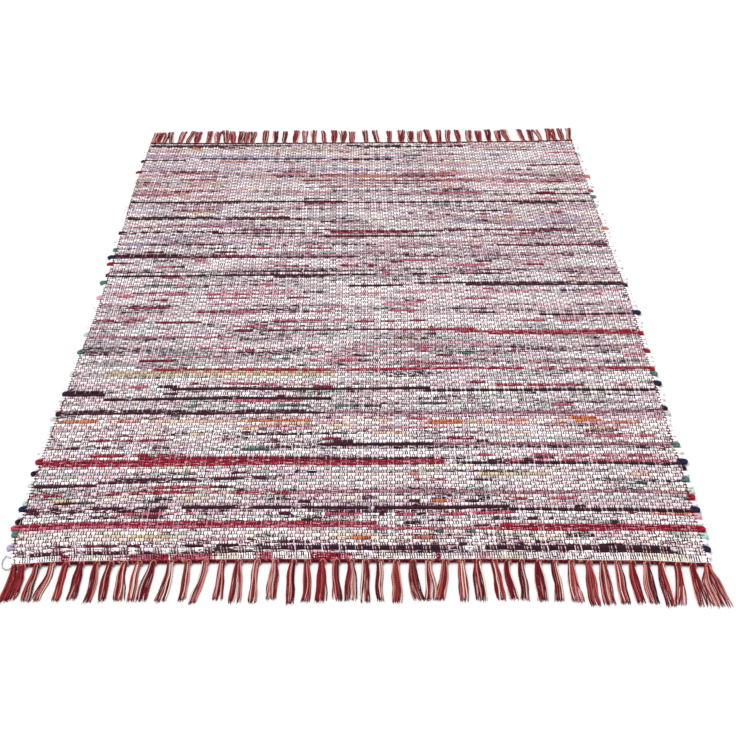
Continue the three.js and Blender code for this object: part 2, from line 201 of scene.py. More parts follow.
# Stripes and streaks, each one rag of one weft row: its place along, where it starts and ends
# across, its rag, and how much of that stretch it covers.
Streak = namedtuple("Streak", "along first last rag cover")
STREAKS = (
    Streak(22, 84, 98, "crimson", 0.9),
    Streak(22, 167, 240, "rose", 0.6),
    Streak(22, 240, 266, "crimson", 0.95),
    Streak(22, 266, 348, "rose", 0.7),
    Streak(22, 417, 447, "rose", 0.85),
    Streak(22, 514, 566, "crimson", 0.9),
    Streak(22, 566, 582, "rose", 0.7),
    Streak(22, 728, 742, "crimson", 0.9),
    Streak(22, 809, 824, "pink", 0.9),
    Streak(22, 850, 904, "rose", 0.65),
    Streak(22, 904, 985, "crimson", 0.75),
    Streak(14, 1140, 1200, "crimson", 0.9),
    Streak(31, 1002, 1154, "black", 0.9),
    Streak(40, 0, 430, "aubergine", 0.45),
    Streak(49, 60, 240, "wine", 0.4),
    Streak(43, 330, 466, "aubergine", 0.55),
    Streak(42, 466, 754, "plum", 1),
    Streak(44, 818, 1138, "plum", 0.95),
    Streak(53, 280, 330, "black", 0.7),
    Streak(58, 355, 430, "black", 0.5),
    Streak(70, 554, 586, "peach", 0.9),
    Streak(70, 586, 622, "orange", 1),
    Streak(70, 698, 738, "coral", 0.7),
    Streak(75, 154, 274, "straw", 0.6),
    Streak(79, 540, 590, "cream", 0.9),
    Streak(79, 590, 640, "peach", 0.8),
    Streak(75, 350, 400, "pink", 0.7),
    Streak(66, 90, 180, "cream", 0.9),
    Streak(84, 626, 820, "teal", 0.35),
    Streak(90, 850, 1205, "crimson", 1),
    Streak(99, 618, 850, "rose", 0.85),
    Streak(99, 850, 1205, "crimson", 0.95),
    Streak(108, -10, 634, "rose", 0.95),
    Streak(117, -10, 634, "crimson", 1),
    Streak(127, 1122, 1205, "coral", 0.7),
    Streak(130, 120, 260, "aubergine", 0.4),
    Streak(139, 165, 306, "rose", 0.7),
    Streak(139, 540, 606, "rose", 0.95),
    Streak(139, 665, 700, "rose", 0.9),
    Streak(139, 722, 880, "rose", 0.65),
    Streak(148, 0, 300, "aubergine", 0.4),
    Streak(148, 858, 1205, "black", 0.95),
    Streak(157, -10, 285, "aubergine", 0.45),
    Streak(157, 285, 394, "black", 0.8),
    Streak(157, 394, 626, "black", 0.7),
    Streak(157, 626, 870, "black", 0.95),
    Streak(166, 300, 700, "mauve", 0.4),
    Streak(174, 90, 122, "teal", 0.8),
    Streak(174, 210, 250, "teal", 0.5),
    Streak(175, 735, 775, "orange", 0.7),
    Streak(184, 42, 86, "straw", 0.9),
    Streak(184, 266, 340, "straw", 0.7),
    Streak(184, 868, 905, "crimson", 0.8),
    Streak(184, 940, 996, "rose", 0.8),
    Streak(202, 10, 60, "crimson", 0.7),
    Streak(204, 110, 350, "crimson", 0.5),
    Streak(202, 370, 470, "crimson", 0.75),
    Streak(202, 470, 1205, "dusk", 0.95),
    Streak(216, 180, 350, "crimson", 0.65),
    Streak(216, 330, 372, "aubergine", 0.7),
    Streak(228, -10, 120, "aubergine", 0.95),
    Streak(237, 120, 210, "aubergine", 0.75),
    Streak(244, 150, 460, "aubergine", 0.7),
    Streak(222, 1075, 1130, "teal", 0.5),
    Streak(237, 700, 760, "crimson", 0.3),
    Streak(255, 540, 700, "cream", 0.7),
    Streak(256, 820, 960, "straw", 0.6),
    Streak(248, 1095, 1140, "peach", 0.8),
    Streak(256, 690, 712, "coral", 0.7),
    Streak(264, 480, 530, "black", 0.6),
    Streak(288, 786, 812, "navy", 0.9),
    Streak(289, 812, 1205, "black", 0.9),
    Streak(290, -12, 758, "crimson", 1),
    Streak(299, -12, 758, "crimson", 0.95),
    Streak(299, 870, 1205, "rose", 0.35),
    Streak(308, 185, 480, "crimson", 1),
    Streak(308, 480, 738, "aubergine", 0.9),
    Streak(308, 270, 480, "aubergine", 0.35),
    Streak(317, 90, 280, "crimson", 0.5),
    Streak(318, 820, 852, "rose", 0.9),
    Streak(310, 926, 1170, "rose", 0.5),
    Streak(335, 300, 470, "teal", 0.3),
    Streak(346, 362, 420, "teal", 0.5),
    Streak(353, 506, 740, "black", 0.9),
    Streak(353, 740, 1205, "dusk", 0.95),
    Streak(364, 335, 350, "cherry", 1),
    Streak(371, 46, 240, "cherry", 0.55),
    Streak(371, 425, 440, "cherry", 1),
    Streak(368, 528, 562, "cherry", 1),
    Streak(371, 770, 818, "cherry", 0.8),
    Streak(374, 1035, 1170, "rose", 0.6),
    Streak(389, 274, 300, "straw", 1),
    Streak(389, 626, 692, "peach", 0.9),
    Streak(389, 882, 932, "peach", 0.8),
    Streak(399, 20, 250, "mauve", 0.6),
    Streak(408, 400, 420, "teal", 0.9),
    Streak(416, 540, 590, "straw", 0.7),
    Streak(416, 1070, 1130, "coral", 0.7),
    Streak(425, 734, 800, "orange", 0.9),
    Streak(425, 420, 500, "peach", 0.8),
    Streak(425, 1020, 1070, "orange", 0.8),
    Streak(432, 2, 86, "orange", 0.6),
    Streak(432, 110, 170, "coral", 0.6),
    Streak(432, 378, 506, "orange", 0.8),
    Streak(434, 734, 800, "orange", 0.8),
    Streak(434, 800, 830, "straw", 0.8),
    Streak(434, 870, 940, "coral", 0.5),
    Streak(434, 1008, 1060, "orange", 0.8),
    Streak(441, 90, 380, "mauve", 0.75),
    Streak(441, 690, 730, "rose", 0.7),
    Streak(450, 530, 1205, "mauve", 0.7),
    Streak(455, -10, 540, "aubergine", 0.95),
    Streak(464, -10, 540, "aubergine", 0.6),
    Streak(462, 530, 1205, "mauve", 0.85),
    Streak(455, 530, 1205, "dusk", 0.95),
    Streak(473, 0, 1200, "grey", 0.5),
    Streak(480, 230, 700, "teal", 0.18),
    Streak(487, 978, 1022, "rose", 0.95),
    Streak(496, 660, 790, "teal", 0.45),
    Streak(502, 346, 482, "rose", 0.85),
    Streak(515, 82, 540, "black", 0.85),
    Streak(509, 670, 700, "sage", 0.9),
    Streak(524, -12, 82, "black", 1),
    Streak(533, -12, 76, "black", 0.8),
    Streak(524, 880, 1205, "sage", 0.25),
    Streak(541, 720, 1210, "black", 0.95),
    Streak(550, 210, 740, "black", 0.95),
    Streak(557, 130, 164, "rose", 0.9),
    Streak(557, 186, 226, "black", 1),
    Streak(564, 246, 264, "cherry", 1),
    Streak(563, 314, 428, "rose", 0.8),
    Streak(563, 440, 500, "cherry", 0.6),
    Streak(563, 820, 852, "cherry", 0.9),
    Streak(559, 870, 1050, "cherry", 0.7),
    Streak(553, 1115, 1140, "cherry", 0.9),
    Streak(597, 102, 160, "black", 0.9),
    Streak(604, 60, 546, "straw", 0.85),
    Streak(612, 82, 550, "straw", 0.9),
    Streak(621, 162, 546, "crimson", 0.9),
    Streak(616, 566, 930, "crimson", 0.9),
    Streak(616, 930, 1090, "rose", 0.5),
    Streak(618, 1090, 1215, "crimson", 0.9),
    Streak(640, 686, 820, "rose", 0.75),
    Streak(652, 130, 210, "wine", 0.6),
    Streak(650, 450, 590, "rose", 0.6),
    Streak(663, 380, 450, "teal", 0.3),
    Streak(681, 778, 870, "teal", 0.55),
    Streak(686, 906, 926, "cherry", 0.9),
    Streak(700, 350, 372, "cherry", 1),
    Streak(697, 410, 432, "cherry", 0.8),
    Streak(706, 250, 330, "rose", 0.55),
    Streak(706, 482, 516, "rose", 0.9),
    Streak(694, 712, 740, "rose", 0.8),
    Streak(733, 666, 732, "straw", 0.7),
    Streak(732, 1018, 1095, "cream", 0.9),
    Streak(752, 10, 322, "dusk", 0.9),
    Streak(752, 322, 900, "mauve", 0.35),
    Streak(761, 322, 770, "teal", 0.2),
    Streak(757, 874, 1220, "crimson", 0.95),
    Streak(766, 800, 1220, "crimson", 1),
    Streak(777, 300, 700, "wine", 0.7),
    Streak(775, 680, 840, "cherry", 0.9),
    Streak(798, 290, 450, "rose", 0.4),
    Streak(812, 580, 624, "cherry", 1),
    Streak(812, 700, 736, "cherry", 1),
    Streak(818, 140, 240, "cherry", 0.55),
    Streak(814, 640, 664, "cherry", 0.8),
    Streak(824, 400, 560, "rose", 0.6),
    Streak(827, 8, 52, "cherry", 1),
    Streak(827, 74, 116, "cherry", 0.9),
    Streak(816, 932, 1090, "rose", 0.35),
    Streak(842, 986, 1200, "black", 0.7),
    Streak(848, 832, 858, "cherry", 1),
    Streak(848, 858, 892, "black", 1),
    Streak(857, 480, 524, "rose", 0.9),
    Streak(857, 225, 300, "cherry", 0.9),
    Streak(864, 300, 372, "rose", 0.95),
    Streak(864, 654, 724, "rose", 0.7),
    Streak(878, 50, 160, "wine", 0.5),
    Streak(882, 370, 450, "mauve", 0.9),
    Streak(906, 690, 740, "cherry", 0.9),
    Streak(912, 818, 900, "rose", 0.8),
    Streak(918, 112, 156, "cherry", 0.8),
    Streak(924, 424, 476, "cherry", 0.95),
    Streak(926, 240, 340, "rose", 0.75),
    Streak(930, 34, 76, "rose", 0.8),
    Streak(940, 594, 644, "coral", 0.5),
    Streak(942, 130, 400, "rose", 0.35),
    Streak(967, 874, 1218, "grey", 0.6),
    Streak(977, 562, 700, "black", 0.7),
    Streak(977, 834, 1218, "aubergine", 0.9),
    Streak(986, 714, 1000, "aubergine", 1),
    Streak(986, 1000, 1218, "aubergine", 0.55),
    Streak(990, 90, 165, "teal", 0.5),
    Streak(1001, 1060, 1205, "peach", 0.6),
    Streak(1016, 754, 802, "rose", 0.8),
    Streak(1029, -8, 172, "black", 0.75),
    Streak(1026, 386, 510, "aubergine", 1),
    Streak(1035, 182, 540, "black", 0.8),
    Streak(1031, 540, 946, "black", 0.5),
    Streak(1055, 80, 96, "teal", 1),
    Streak(1077, 150, 178, "black", 0.9),
    Streak(1077, 390, 470, "cherry", 0.55),
    Streak(1077, 542, 590, "cherry", 0.85),
    Streak(1077, 606, 630, "cherry", 1),
    Streak(1077, 798, 902, "rose", 0.7),
    Streak(1080, 974, 1028, "cherry", 0.95),
    Streak(1090, 1060, 1200, "white", 0.9),
    Streak(1096, 10, 60, "wine", 0.6),
    Streak(1100, 200, 230, "rose", 0.9),
    Streak(1106, 680, 780, "rose", 0.6),
    Streak(1118, 338, 596, "aubergine", 1),
    Streak(1119, -8, 338, "aubergine", 0.8),
    Streak(1128, -8, 162, "black", 0.95),
    Streak(1127, 162, 340, "aubergine", 0.6),
    Streak(1132, 250, 350, "cherry", 0.45),
    Streak(1127, 990, 1060, "rose", 0.4),
    Streak(1165, 346, 380, "rose", 0.8),
    Streak(1165, 458, 526, "cherry", 0.7),
    Streak(1165, 862, 890, "cherry", 0.9),
    Streak(1167, 680, 740, "rose", 0.7),
    Streak(1175, 914, 1218, "wine", 0.8),
    Streak(1176, 594, 914, "mauve", 0.8),
    Streak(1180, 18, 280, "lilac", 0.7),
    Streak(1180, 60, 280, "aubergine", 0.3),
    Streak(1189, 18, 320, "lilac", 0.4),
    Streak(1189, 130, 200, "rose", 0.5),
    Streak(1232, 490, 784, "black", 0.9),
    Streak(1236, 990, 1028, "cherry", 0.8),
    Streak(1236, 1118, 1136, "cherry", 1),
    Streak(1246, 402, 442, "cherry", 1),
    Streak(1246, 522, 722, "cherry", 0.6),
    Streak(1243, 226, 420, "black", 0.95),
    Streak(1243, 420, 500, "aubergine", 0.6),
    Streak(1252, 810, 1130, "wine", 0.8),
    Streak(1257, -10, 240, "black", 0.55),
    Streak(1260, 522, 802, "wine", 0.85),
    Streak(1262, 280, 522, "wine", 0.45),
    Streak(1284, 18, 80, "rose", 0.6),
    Streak(1284, 178, 250, "rose", 0.8),
    Streak(1300, 880, 925, "teal", 0.5),
    Streak(1307, 1034, 1194, "lilac", 1),
    Streak(1312, 930, 1010, "straw", 0.7),
    Streak(1300, 1034, 1150, "lilac", 0.5),
    Streak(1330, 2, 452, "aubergine", 0.9),
    Streak(1337, 2, 420, "aubergine", 0.6),
    Streak(1326, 108, 156, "black", 1),
    Streak(1330, 452, 570, "aubergine", 0.35),
    Streak(1349, 884, 924, "cherry", 1),
    Streak(1352, 715, 730, "cherry", 1),
    Streak(1352, 766, 782, "cherry", 1),
    Streak(1352, 958, 984, "cherry", 0.9),
    Streak(1352, 1082, 1110, "cherry", 0.9),
    Streak(1362, 842, 972, "lilac", 0.8),
    Streak(1364, 850, 960, "aubergine", 0.4),
    Streak(1365, 170, 220, "straw", 0.6),
    Streak(1360, 322, 400, "rose", 0.5),
    Streak(1370, 120, 230, "coral", 0.5),
    Streak(1392, -6, 100, "lilac", 0.6),
    Streak(1416, 450, 562, "wine", 0.7),
    Streak(1414, 1002, 1108, "aubergine", 0.85),
    Streak(1424, -6, 562, "black", 0.85),
    Streak(1420, 562, 1215, "black", 0.85),
    Streak(1457, 674, 980, "sage", 0.7),
    Streak(1460, 970, 1218, "black", 0.55),
    Streak(1466, 290, 690, "grey", 0.7),
    Streak(1470, -6, 122, "rose", 0.6),
    Streak(1473, 754, 914, "rose", 0.6),
    Streak(1476, 1058, 1108, "cherry", 0.8),
    Streak(1528, 146, 178, "orange", 0.9),
    Streak(1534, 194, 230, "straw", 0.8),
    Streak(1552, 442, 522, "cherry", 0.75),
    Streak(1552, 594, 874, "cherry", 0.75),
    Streak(1548, 874, 1204, "rose", 0.5),
    Streak(1564, 114, 212, "cherry", 0.65),
    Streak(1580, 530, 850, "cherry", 0.7),
    Streak(1583, 500, 700, "coral", 0.5),
    Streak(1592, 482, 560, "cherry", 0.7),
    Streak(1592, 1122, 1194, "straw", 0.6),
    Streak(1600, 640, 860, "rose", 0.3),
    Streak(1606, 58, 172, "cherry", 0.6),
    Streak(1606, 386, 450, "cherry", 0.8),
    Streak(1634, 18, 170, "lilac", 0.6),
    Streak(1630, 330, 700, "lilac", 0.35),
    Streak(1648, 1050, 1204, "wine", 0.6),
    Streak(1640, 270, 420, "white", 0.7),
    Streak(1668, 818, 930, "peach", 0.8),
    Streak(1672, 386, 420, "orange", 0.7),
    Streak(1670, 562, 596, "orange", 0.9),
    Streak(1672, 706, 730, "rose", 0.8),
    Streak(1684, 210, 292, "coral", 0.7),
    Streak(1696, -10, 116, "black", 0.9),
    Streak(1697, 154, 500, "black", 0.85),
    Streak(1691, 514, 686, "black", 0.9),
    Streak(1706, 2, 482, "lilac", 0.55),
    Streak(1715, 2, 500, "lilac", 0.7),
    Streak(1715, 714, 770, "teal", 0.4),
    Streak(1722, 594, 642, "wine", 0.6),
    Streak(1722, 818, 1010, "lilac", 0.6),
    Streak(1724, 818, 870, "cherry", 0.5),
    Streak(1733, 1118, 1200, "rose", 0.7),
    Streak(1736, 350, 374, "rose", 0.8),
    Streak(1742, 538, 570, "rose", 0.5),
    Streak(1765, 60, 500, "straw", 0.3),
    Streak(1769, 120, 150, "orange", 0.7),
    Streak(1782, 586, 886, "black", 1),
    Streak(1781, 2, 240, "aubergine", 0.7),
    Streak(1790, 2, 500, "black", 0.95),
    Streak(1786, 500, 600, "black", 0.8),
    Streak(1790, 130, 234, "cherry", 0.35),
    Streak(1788, 400, 560, "mauve", 0.8),
)

# Weft turns whose rag was noted in the photo, by their place along.
TURNS = {
    "left": {20: "bleached", 46: "lilac", 70: "cream", 90: "teal", 108: "rose", 126: "black",
             152: "navy", 178: "mint", 232: "sage", 269: "black", 294: "crimson", 308: "crimson",
             402: "mint", 440: "sage", 458: "black", 490: "mint", 530: "navy", 612: "sage",
             692: "teal", 772: "mint", 935: "pink", 1006: "teal", 1030: "black",
             1090: "crimson", 1120: "navy", 1156: "teal", 1246: "black", 1606: "crimson",
             1682: "black"},
    "right": {10: "rose", 40: "navy", 82: "mint", 96: "crimson", 124: "pink", 146: "navy",
              178: "crimson", 196: "sage", 238: "teal", 271: "black", 290: "navy", 338: "teal",
              352: "black", 446: "sage", 470: "black", 540: "cream", 562: "navy",
              596: "teal", 616: "crimson", 686: "crimson", 763: "crimson", 845: "navy",
              980: "black", 1263: "coral", 1382: "mint", 1435: "teal", 1470: "rose",
              1560: "coral", 1715: "mint"},
}

# The lowest middle of a turn's loop, and how far its two ends reach back into the field.
LOWEST_TURN = 2.65
TURN_TAIL = 6

# The pale rags of all the other turns, by weight, and the rags whose turns are slimmer.
PALE_TURNS = {"bleached": 9, "white": 3}
SLIM_TURNS = ("black", "mint", "sage", "cream")

# A loose thin loop of grey yarn at the near left corner, as places across and along from it.
CORNER_LOOP = ((2, 34), (-5, 36), (-12, 31), (-17, 22), (-19.5, 12), (-19, 2), (-16, -6),
               (-11, -11), (-6, -12), (-2, -9), (3, -3))

# Warp yarn colours, set in the same way: six of the fringes, and the field's three fine ones.
# The edge warps have two of the fringes' yarns.
YARNS = {
    "dark_red": "#760C1A",
    "brick": "#93292B",
    "clay": "#AC5250",
    "salmon": "#D0928A",
    "beige": "#E8D5CB",
    "brown_black": "#300D15",
    "wine_black": "#360713",
    "wine": "#641E2F",
    "pale": "#F8ECEE",
}
YARN_MIX = {"dark_red": 9, "brick": 5, "clay": 4, "salmon": 3.6, "beige": 1.3, "brown_black": 1.4}
PALE_TASSELS = {"near": (11, 23, 24, 34), "far": (5, 17)}

# The warp ends that lie over a weft row, through one repeat: where each is, as a share of the
# repeat, its yarn and its thickness. The first chart is for the even rows. The second is for
# the odd ones, half a repeat along, and has the pale ends.
WarpEnd = namedtuple("WarpEnd", "share yarn thick")
WARP_CHARTS = (
    (
        WarpEnd(0.39, "wine", 1.4),
        WarpEnd(0.66, "wine", 1.3),
        WarpEnd(0.8, "wine_black", 2.1),
        WarpEnd(0.95, "wine_black", 2.1),
        WarpEnd(1.1, "wine_black", 2.1),
    ),
    (
        WarpEnd(0.39, "wine", 1.4),
        WarpEnd(0.68, "wine", 1.2),
        WarpEnd(0.74, "pale", 1.8),
        WarpEnd(0.82, "wine_black", 2.1),
        WarpEnd(0.97, "wine_black", 2.1),
        WarpEnd(1.045, "pale", 1.8),
        WarpEnd(1.12, "wine_black", 1.8),
    ),
)
# Beside the header cords the ends lie one by one, all at the same spacing.
END_CHART = tuple(WarpEnd(0.02 + place / 7, "wine_black", 2) for place in range(7))
END_ROWS = (0, 1, WEFT_ROWS - 1)

# Next to them, the pale ends of each group show over two rows at once.
OPEN_CHART = (
    WarpEnd(0.69, "pale", 1.5),
    WarpEnd(0.77, "wine", 1.9),
    WarpEnd(0.84, "pale", 1.5),
    WarpEnd(0.91, "wine", 1.9),
    WarpEnd(0.99, "wine_black", 1.9),
    WarpEnd(1.06, "pale", 1.6),
    WarpEnd(1.13, "wine", 1.4),
)
OPEN_ROWS = (2, 3)
REPEATS = 41
CHART_SHIFT = 0.88

# The rows wander from straight, in steps of this many millimetres across and along the rug.
WANDER_WIDE = 150
WANDER_LONG = 63

# The warp sways in two long waves: how far aside, how long, and the turn from repeat to repeat.
Sway = namedtuple("Sway", "aside long turn")
SWAYS = (Sway(0.45, 430, 0.37), Sway(0.3, 170, 0.61))

# Chance numbers of the warp ends: places kept for one repeat, those before the second chart's,
# and a step from row to row that is more than a row has places.
REPEAT_PLACES = 14
SECOND_CHART_PLACES = 6
ROW_PLACES = 977

# Weft rows that lie in the same shed as their neighbours, out of turn.
SAME_SHED = (2,)

# The weft's blobs are parted at these shares of the repeat, where warp ends dive. Its faces'
# first map place is in repeats and in shares of a row, and away from any gap at the middle.
WEFT_GAPS = (0.39, 0.67, 0.81, 0.96, 1.11)
WEFT_MIDDLE = (0.53, 0.5)
# The dark mixed into the weft's gaps: the warp yarn's dark wine, with painted shade in the gaps
# and in the corners between the blobs.
GAP_WARP_AND_SHADE_COLOUR = (0.045, 0.006, 0.013, 1)

# The weft's crest at each of its columns in a repeat: high where it lies over the warp.
WeftColumn = namedtuple("WeftColumn", "share crest")
WEFT_COLUMNS = (
    WeftColumn(0.25, 6.1),
    WeftColumn(0.39, 5.9),
    WeftColumn(0.54, 6.1),
    WeftColumn(0.75, 5.1),
    WeftColumn(0.89, 4.7),
    WeftColumn(1.04, 5.1),
)

# Across one weft row: lines of points from one valley towards the next, and how high they rise.
WeftLine = namedtuple("WeftLine", "share rise")
WEFT_LINES = (
    WeftLine(0, 0),
    WeftLine(0.2, 0.78),
    WeftLine(0.5, 1),
    WeftLine(0.8, 0.78),
)
BANDS = 8
BAND_ROWS = WEFT_ROWS // BANDS


def linear(code):
    """A colour written as #RRGGBB, in the linear values that shaders use."""
    parts = [int(code[place:place + 2], 16) / 255 for place in (1, 3, 5)]
    return tuple(p / 12.92 if p <= 0.04045 else ((p + 0.055) / 1.055) ** 2.4 for p in parts)


def plain_words(name):
    """A name in the tables as the words that the panel shows."""
    return name.replace("_", " ")


def colour_property(name, code, what):
    """A colour that the panel lets the user change."""
    return bpy.props.FloatVectorProperty(
        name=plain_words(name).capitalize(), description=f"{what} of the {plain_words(name)} kind",
        subtype="COLOR", size=3, min=0, max=1, default=linear(code),
    )


def length_property(name, description, millimetres):
    """A length that the panel lets the user change, kept in metres."""
    return bpy.props.FloatProperty(
        name=name, description=description, default=millimetres * MM, min=0, unit="LENGTH",
        subtype="DISTANCE",
    )


class RagColours(bpy.types.PropertyGroup):
    """The colours of the rags in the weft."""

    __annotations__ = {
        name: colour_property(name, rag.colour, "Rag") for name, rag in RAGS.items()}


class YarnColours(bpy.types.PropertyGroup):
    """The colours of the warp and fringe yarns."""

    __annotations__ = {name: colour_property(name, code, "Yarn") for name, code in YARNS.items()}


class WeaveSizes(bpy.types.PropertyGroup):
    """The relief of the woven field."""

    valley: length_property("Valley", "Height of the grooves between weft rows", 3.8)
    edge_crest: length_property("Edge crest", "Height of a weft row at the edge warps", 4.9)
    row_unevenness: length_property("Row unevenness", "How much a row's height varies", 0.35)
    row_wander: length_property("Row wander", "How far a row strays from straight", 3.4)
    row_push: length_property("Row push", "How far a thick rag pushes its row's edges", 1.3)
    warp_stand: length_property("Warp stand", "How far a warp end stands on the weft", 0.5)
    turn_half: length_property("Turn half width", "Half the width of a turned weft strip", 3.5)


class FringeSizes(bpy.types.PropertyGroup):
    """The yarns of the fringe."""

    yarns: bpy.props.IntProperty(
        name="Yarns", description="Yarns in one tassel", default=13, min=3, max=16)
    yarn_radius: length_property("Yarn radius", "Half the thickness of a fringe yarn", 1.1)
    fibre_radius: length_property("Fibre radius", "Half the thickness of a loose fibre", 0.3)
    neck_half: length_property("Neck half width", "Half the width of a tassel's neck", 5.0)
    cord_radius: length_property("Cord radius", "Half the thickness of a header strand", 1.8)
    cord_pitch: length_property("Cord pitch", "Length of one twist of the header cord", 11)


class StageLook(bpy.types.PropertyGroup):
    """The studio round the rug."""

    floor: bpy.props.FloatVectorProperty(
        name="Floor", description="Colour of the studio floor", subtype="COLOR", size=3,
        default=(0.78, 0.78, 0.78), min=0, max=1)
    sky: bpy.props.FloatProperty(
        name="Surround", description="Strength of the even light from all round", default=0.66,
        min=0)
    lamp: bpy.props.FloatProperty(
        name="Lamp", description="Strength of the large soft light from above", default=2.5, min=0)
    softness: bpy.props.FloatProperty(
        name="Softness", description="How wide the lamp looks from the rug", subtype="ANGLE",
        default=math.radians(50), min=0, max=math.radians(180))
    lens: bpy.props.FloatProperty(
        name="Lens", description="Focal length in millimetres", default=66.21, min=1)


def uneven(place, kind):
    """The same chance number from -1 to 1 each time for a place and a kind of unevenness."""
    wave = np.sin(np.asarray(place, float) * 12.9898 + kind * 78.233) * 43758.5453
    return 2 * (wave - np.floor(wave)) - 1


def smooth_step(share):
    """From 0 to 1 with a slow start and a slow end."""
    share = np.clip(share, 0, 1)
    return share * share * (3 - 2 * share)


def eased(table, key, column, at):
    """A column of a table between its rows, eased so that the line has no corners."""
    places = np.array([getattr(row, key) for row in table], float)
    values = np.array([getattr(row, column) for row in table], float)
    at = np.asarray(at, float)
    row = np.clip(np.searchsorted(places, at) - 1, 0, len(places) - 2)
    share = smooth_step((at - places[row]) / (places[row + 1] - places[row]))
    return values[row] + (values[row + 1] - values[row]) * share


def bent_along(across, straight):
    """A place along the field, moved as the field's uneven ends push their nearest rows."""
    near = eased(ENDS, "across", "near", across)
    far = eased(ENDS, "across", "far", across) - FIELD_LONG
    return (straight + near * np.exp(-straight / END_FADE)
            + far * np.exp((straight - FIELD_LONG) / END_FADE))


def field_place(share, straight):
    """Across and along in the rug's frame, for a share of the width and a place along."""
    left = eased(SELVEDGES, "along", "left", straight)
    right = eased(SELVEDGES, "along", "right", straight)
    across = left + (right - left) * share
    return across - MIDDLE_ACROSS, bent_along(across, straight) - MIDDLE_ALONG


def drift(place, step, line, kind):
    """A smooth chance number from -1 to 1 along a line, with one knot to each step."""
    knot = np.floor(place / step)
    share = smooth_step(place / step - knot)
    before = uneven(knot + 131 * line, kind)
    after = uneven(knot + 1 + 131 * line, kind)
    return before + (after - before) * share


def edge_fade(share, straight):
    """From 0 at the field's edges to 1 a little inside them."""
    aside = np.minimum(share, 1 - share) * FIELD_LONG / 40
    inside = np.minimum(straight, FIELD_LONG - straight) / 20
    return smooth_step(aside) * smooth_step(inside)


def row_edges(rags, sizes):
    """How far the edge before each weft row is moved along, at every column: thick rags push
    thin ones aside, and each row's thickness drifts."""
    shares = weft_shares()
    rows = np.arange(-1, WEFT_ROWS + 1)
    thick = np.zeros((WEFT_ROWS + 2, len(shares)))
    thick[1:-1] = [[RAGS[name].bulk for name in row] for row in rags]
    wide = np.ones(7) / 7
    for place, row in enumerate(rows):
        thick[place] = np.convolve(np.pad(thick[place], 3, "edge"), wide, "valid")
        thick[place] += 0.6 * drift(shares * FIELD_WIDE, 90, row, 6) + 0.3 * uneven(row, 12)
    edges = sizes.row_push / MM * (thick[:-1] - thick[1:])
    return edges * edge_fade(shares[None, :], np.arange(WEFT_ROWS + 1)[:, None] * ROW)


def weave_place(share, straight, sizes, edges):
    """Like field_place, with the rows' wander and uneven thickness, and the warp's sway."""
    repeat = share * REPEATS
    step = straight / WANDER_LONG
    slow = drift(share * FIELD_WIDE, WANDER_WIDE, np.floor(step), 5)
    later = drift(share * FIELD_WIDE, WANDER_WIDE, np.floor(step) + 1, 5)
    wander = slow + (later - slow) * smooth_step(step - np.floor(step))
    sway = 0
    for wave in SWAYS:
        sway = sway + wave.aside * np.sin(2 * np.pi * (straight / wave.long + wave.turn * repeat))
    fade = edge_fade(share, straight)
    row = np.clip(np.round(straight / ROW, 6), 0, WEFT_ROWS)
    before = np.minimum(np.floor(row), WEFT_ROWS - 1).astype(int)
    shares = weft_shares()
    column = np.interp(share, shares, np.arange(len(shares)))
    left = np.minimum(np.floor(column), len(shares) - 2).astype(int)
    right_part = column - left
    upper_part = row - before
    push = ((1 - upper_part) * ((1 - right_part) * edges[before, left]
                                + right_part * edges[before, left + 1])
            + upper_part * ((1 - right_part) * edges[before + 1, left]
                            + right_part * edges[before + 1, left + 1]))
    across, along = field_place(share, straight)
    return across + sway * fade, along + wander * fade * sizes.row_wander / MM + push


def shed(row):
    """Which of the two warp charts lies over a row: 0 or 1."""
    row = np.asarray(row)
    return np.where(np.isin(row, SAME_SHED), 1 - row % 2, row % 2)


def crest_height(share, row, sizes):
    """The height of a weft row's crest at a share of the rug's width, in millimetres."""
    phase = share * REPEATS + CHART_SHIFT + 0.5 * shed(row)
    phase = phase - np.floor(phase)
    shares = [column.share for column in WEFT_COLUMNS]
    crests = [column.crest for column in WEFT_COLUMNS]
    crest = np.interp(np.where(phase < 0.25, phase + 1, phase), shares + [1.25],
                      crests + [crests[0]])
    roll = 0.6 * drift(share * FIELD_WIDE, 55, row, 7) + 0.4 * uneven(row, 8)
    lift = sizes.row_unevenness / MM * roll
    side = np.minimum(share, 1 - share) * FIELD_WIDE
    edge = sizes.edge_crest / MM
    return edge + (crest + lift - edge) * smooth_step(side / 12)


def weft_shares():
    """The shares of the width at which the weft has points, from edge to edge."""
    shares = [0.0]
    for repeat in range(REPEATS + 1):
        for column in WEFT_COLUMNS:
            share = (repeat + column.share - CHART_SHIFT) / REPEATS
            if 0.004 < share < 0.996:
                shares.append(share)
    return np.array(sorted(shares) + [1.0])


def pick(weights, chance):
    """One of the names in a table of weights, drawn by chance."""
    names = list(weights)
    share = np.array(list(weights.values()), float)
    return names[chance.choice(len(names), p=share / share.sum())]


def rag_runs(along, places, chance):
    """The rag at each place of one row: runs of rags drawn from its zone's weights."""
    zone = next(zone for zone in ZONES if along < zone.to)
    names = list(zone.rags)
    weights = np.array([zone.rags[name] / RAGS[name].run for name in names], float)
    # Each row leans to one of its rags, so that rows differ as a whole.
    weights[chance.integers(len(names))] *= 5
    weights[chance.integers(len(names))] *= 0.3
    weights /= weights.sum()
    rags = np.full(len(places), "white", object)
    start = places[0] - 60 * chance.random()
    while start < places[-1]:
        name = names[chance.choice(len(names), p=weights)]
        end = start + RAGS[name].run * (1 + along / 1500) * (0.45 + 1.1 * chance.random())
        rags[(places >= start) & (places <= end)] = name
        start = end
    return rags


def row_of(along, across):
    """The weft row whose middle passes nearest to a place on the rug."""
    places = bent_along(across, (np.arange(WEFT_ROWS) + 0.5) * ROW)
    return int(np.argmin(np.abs(places - along)))


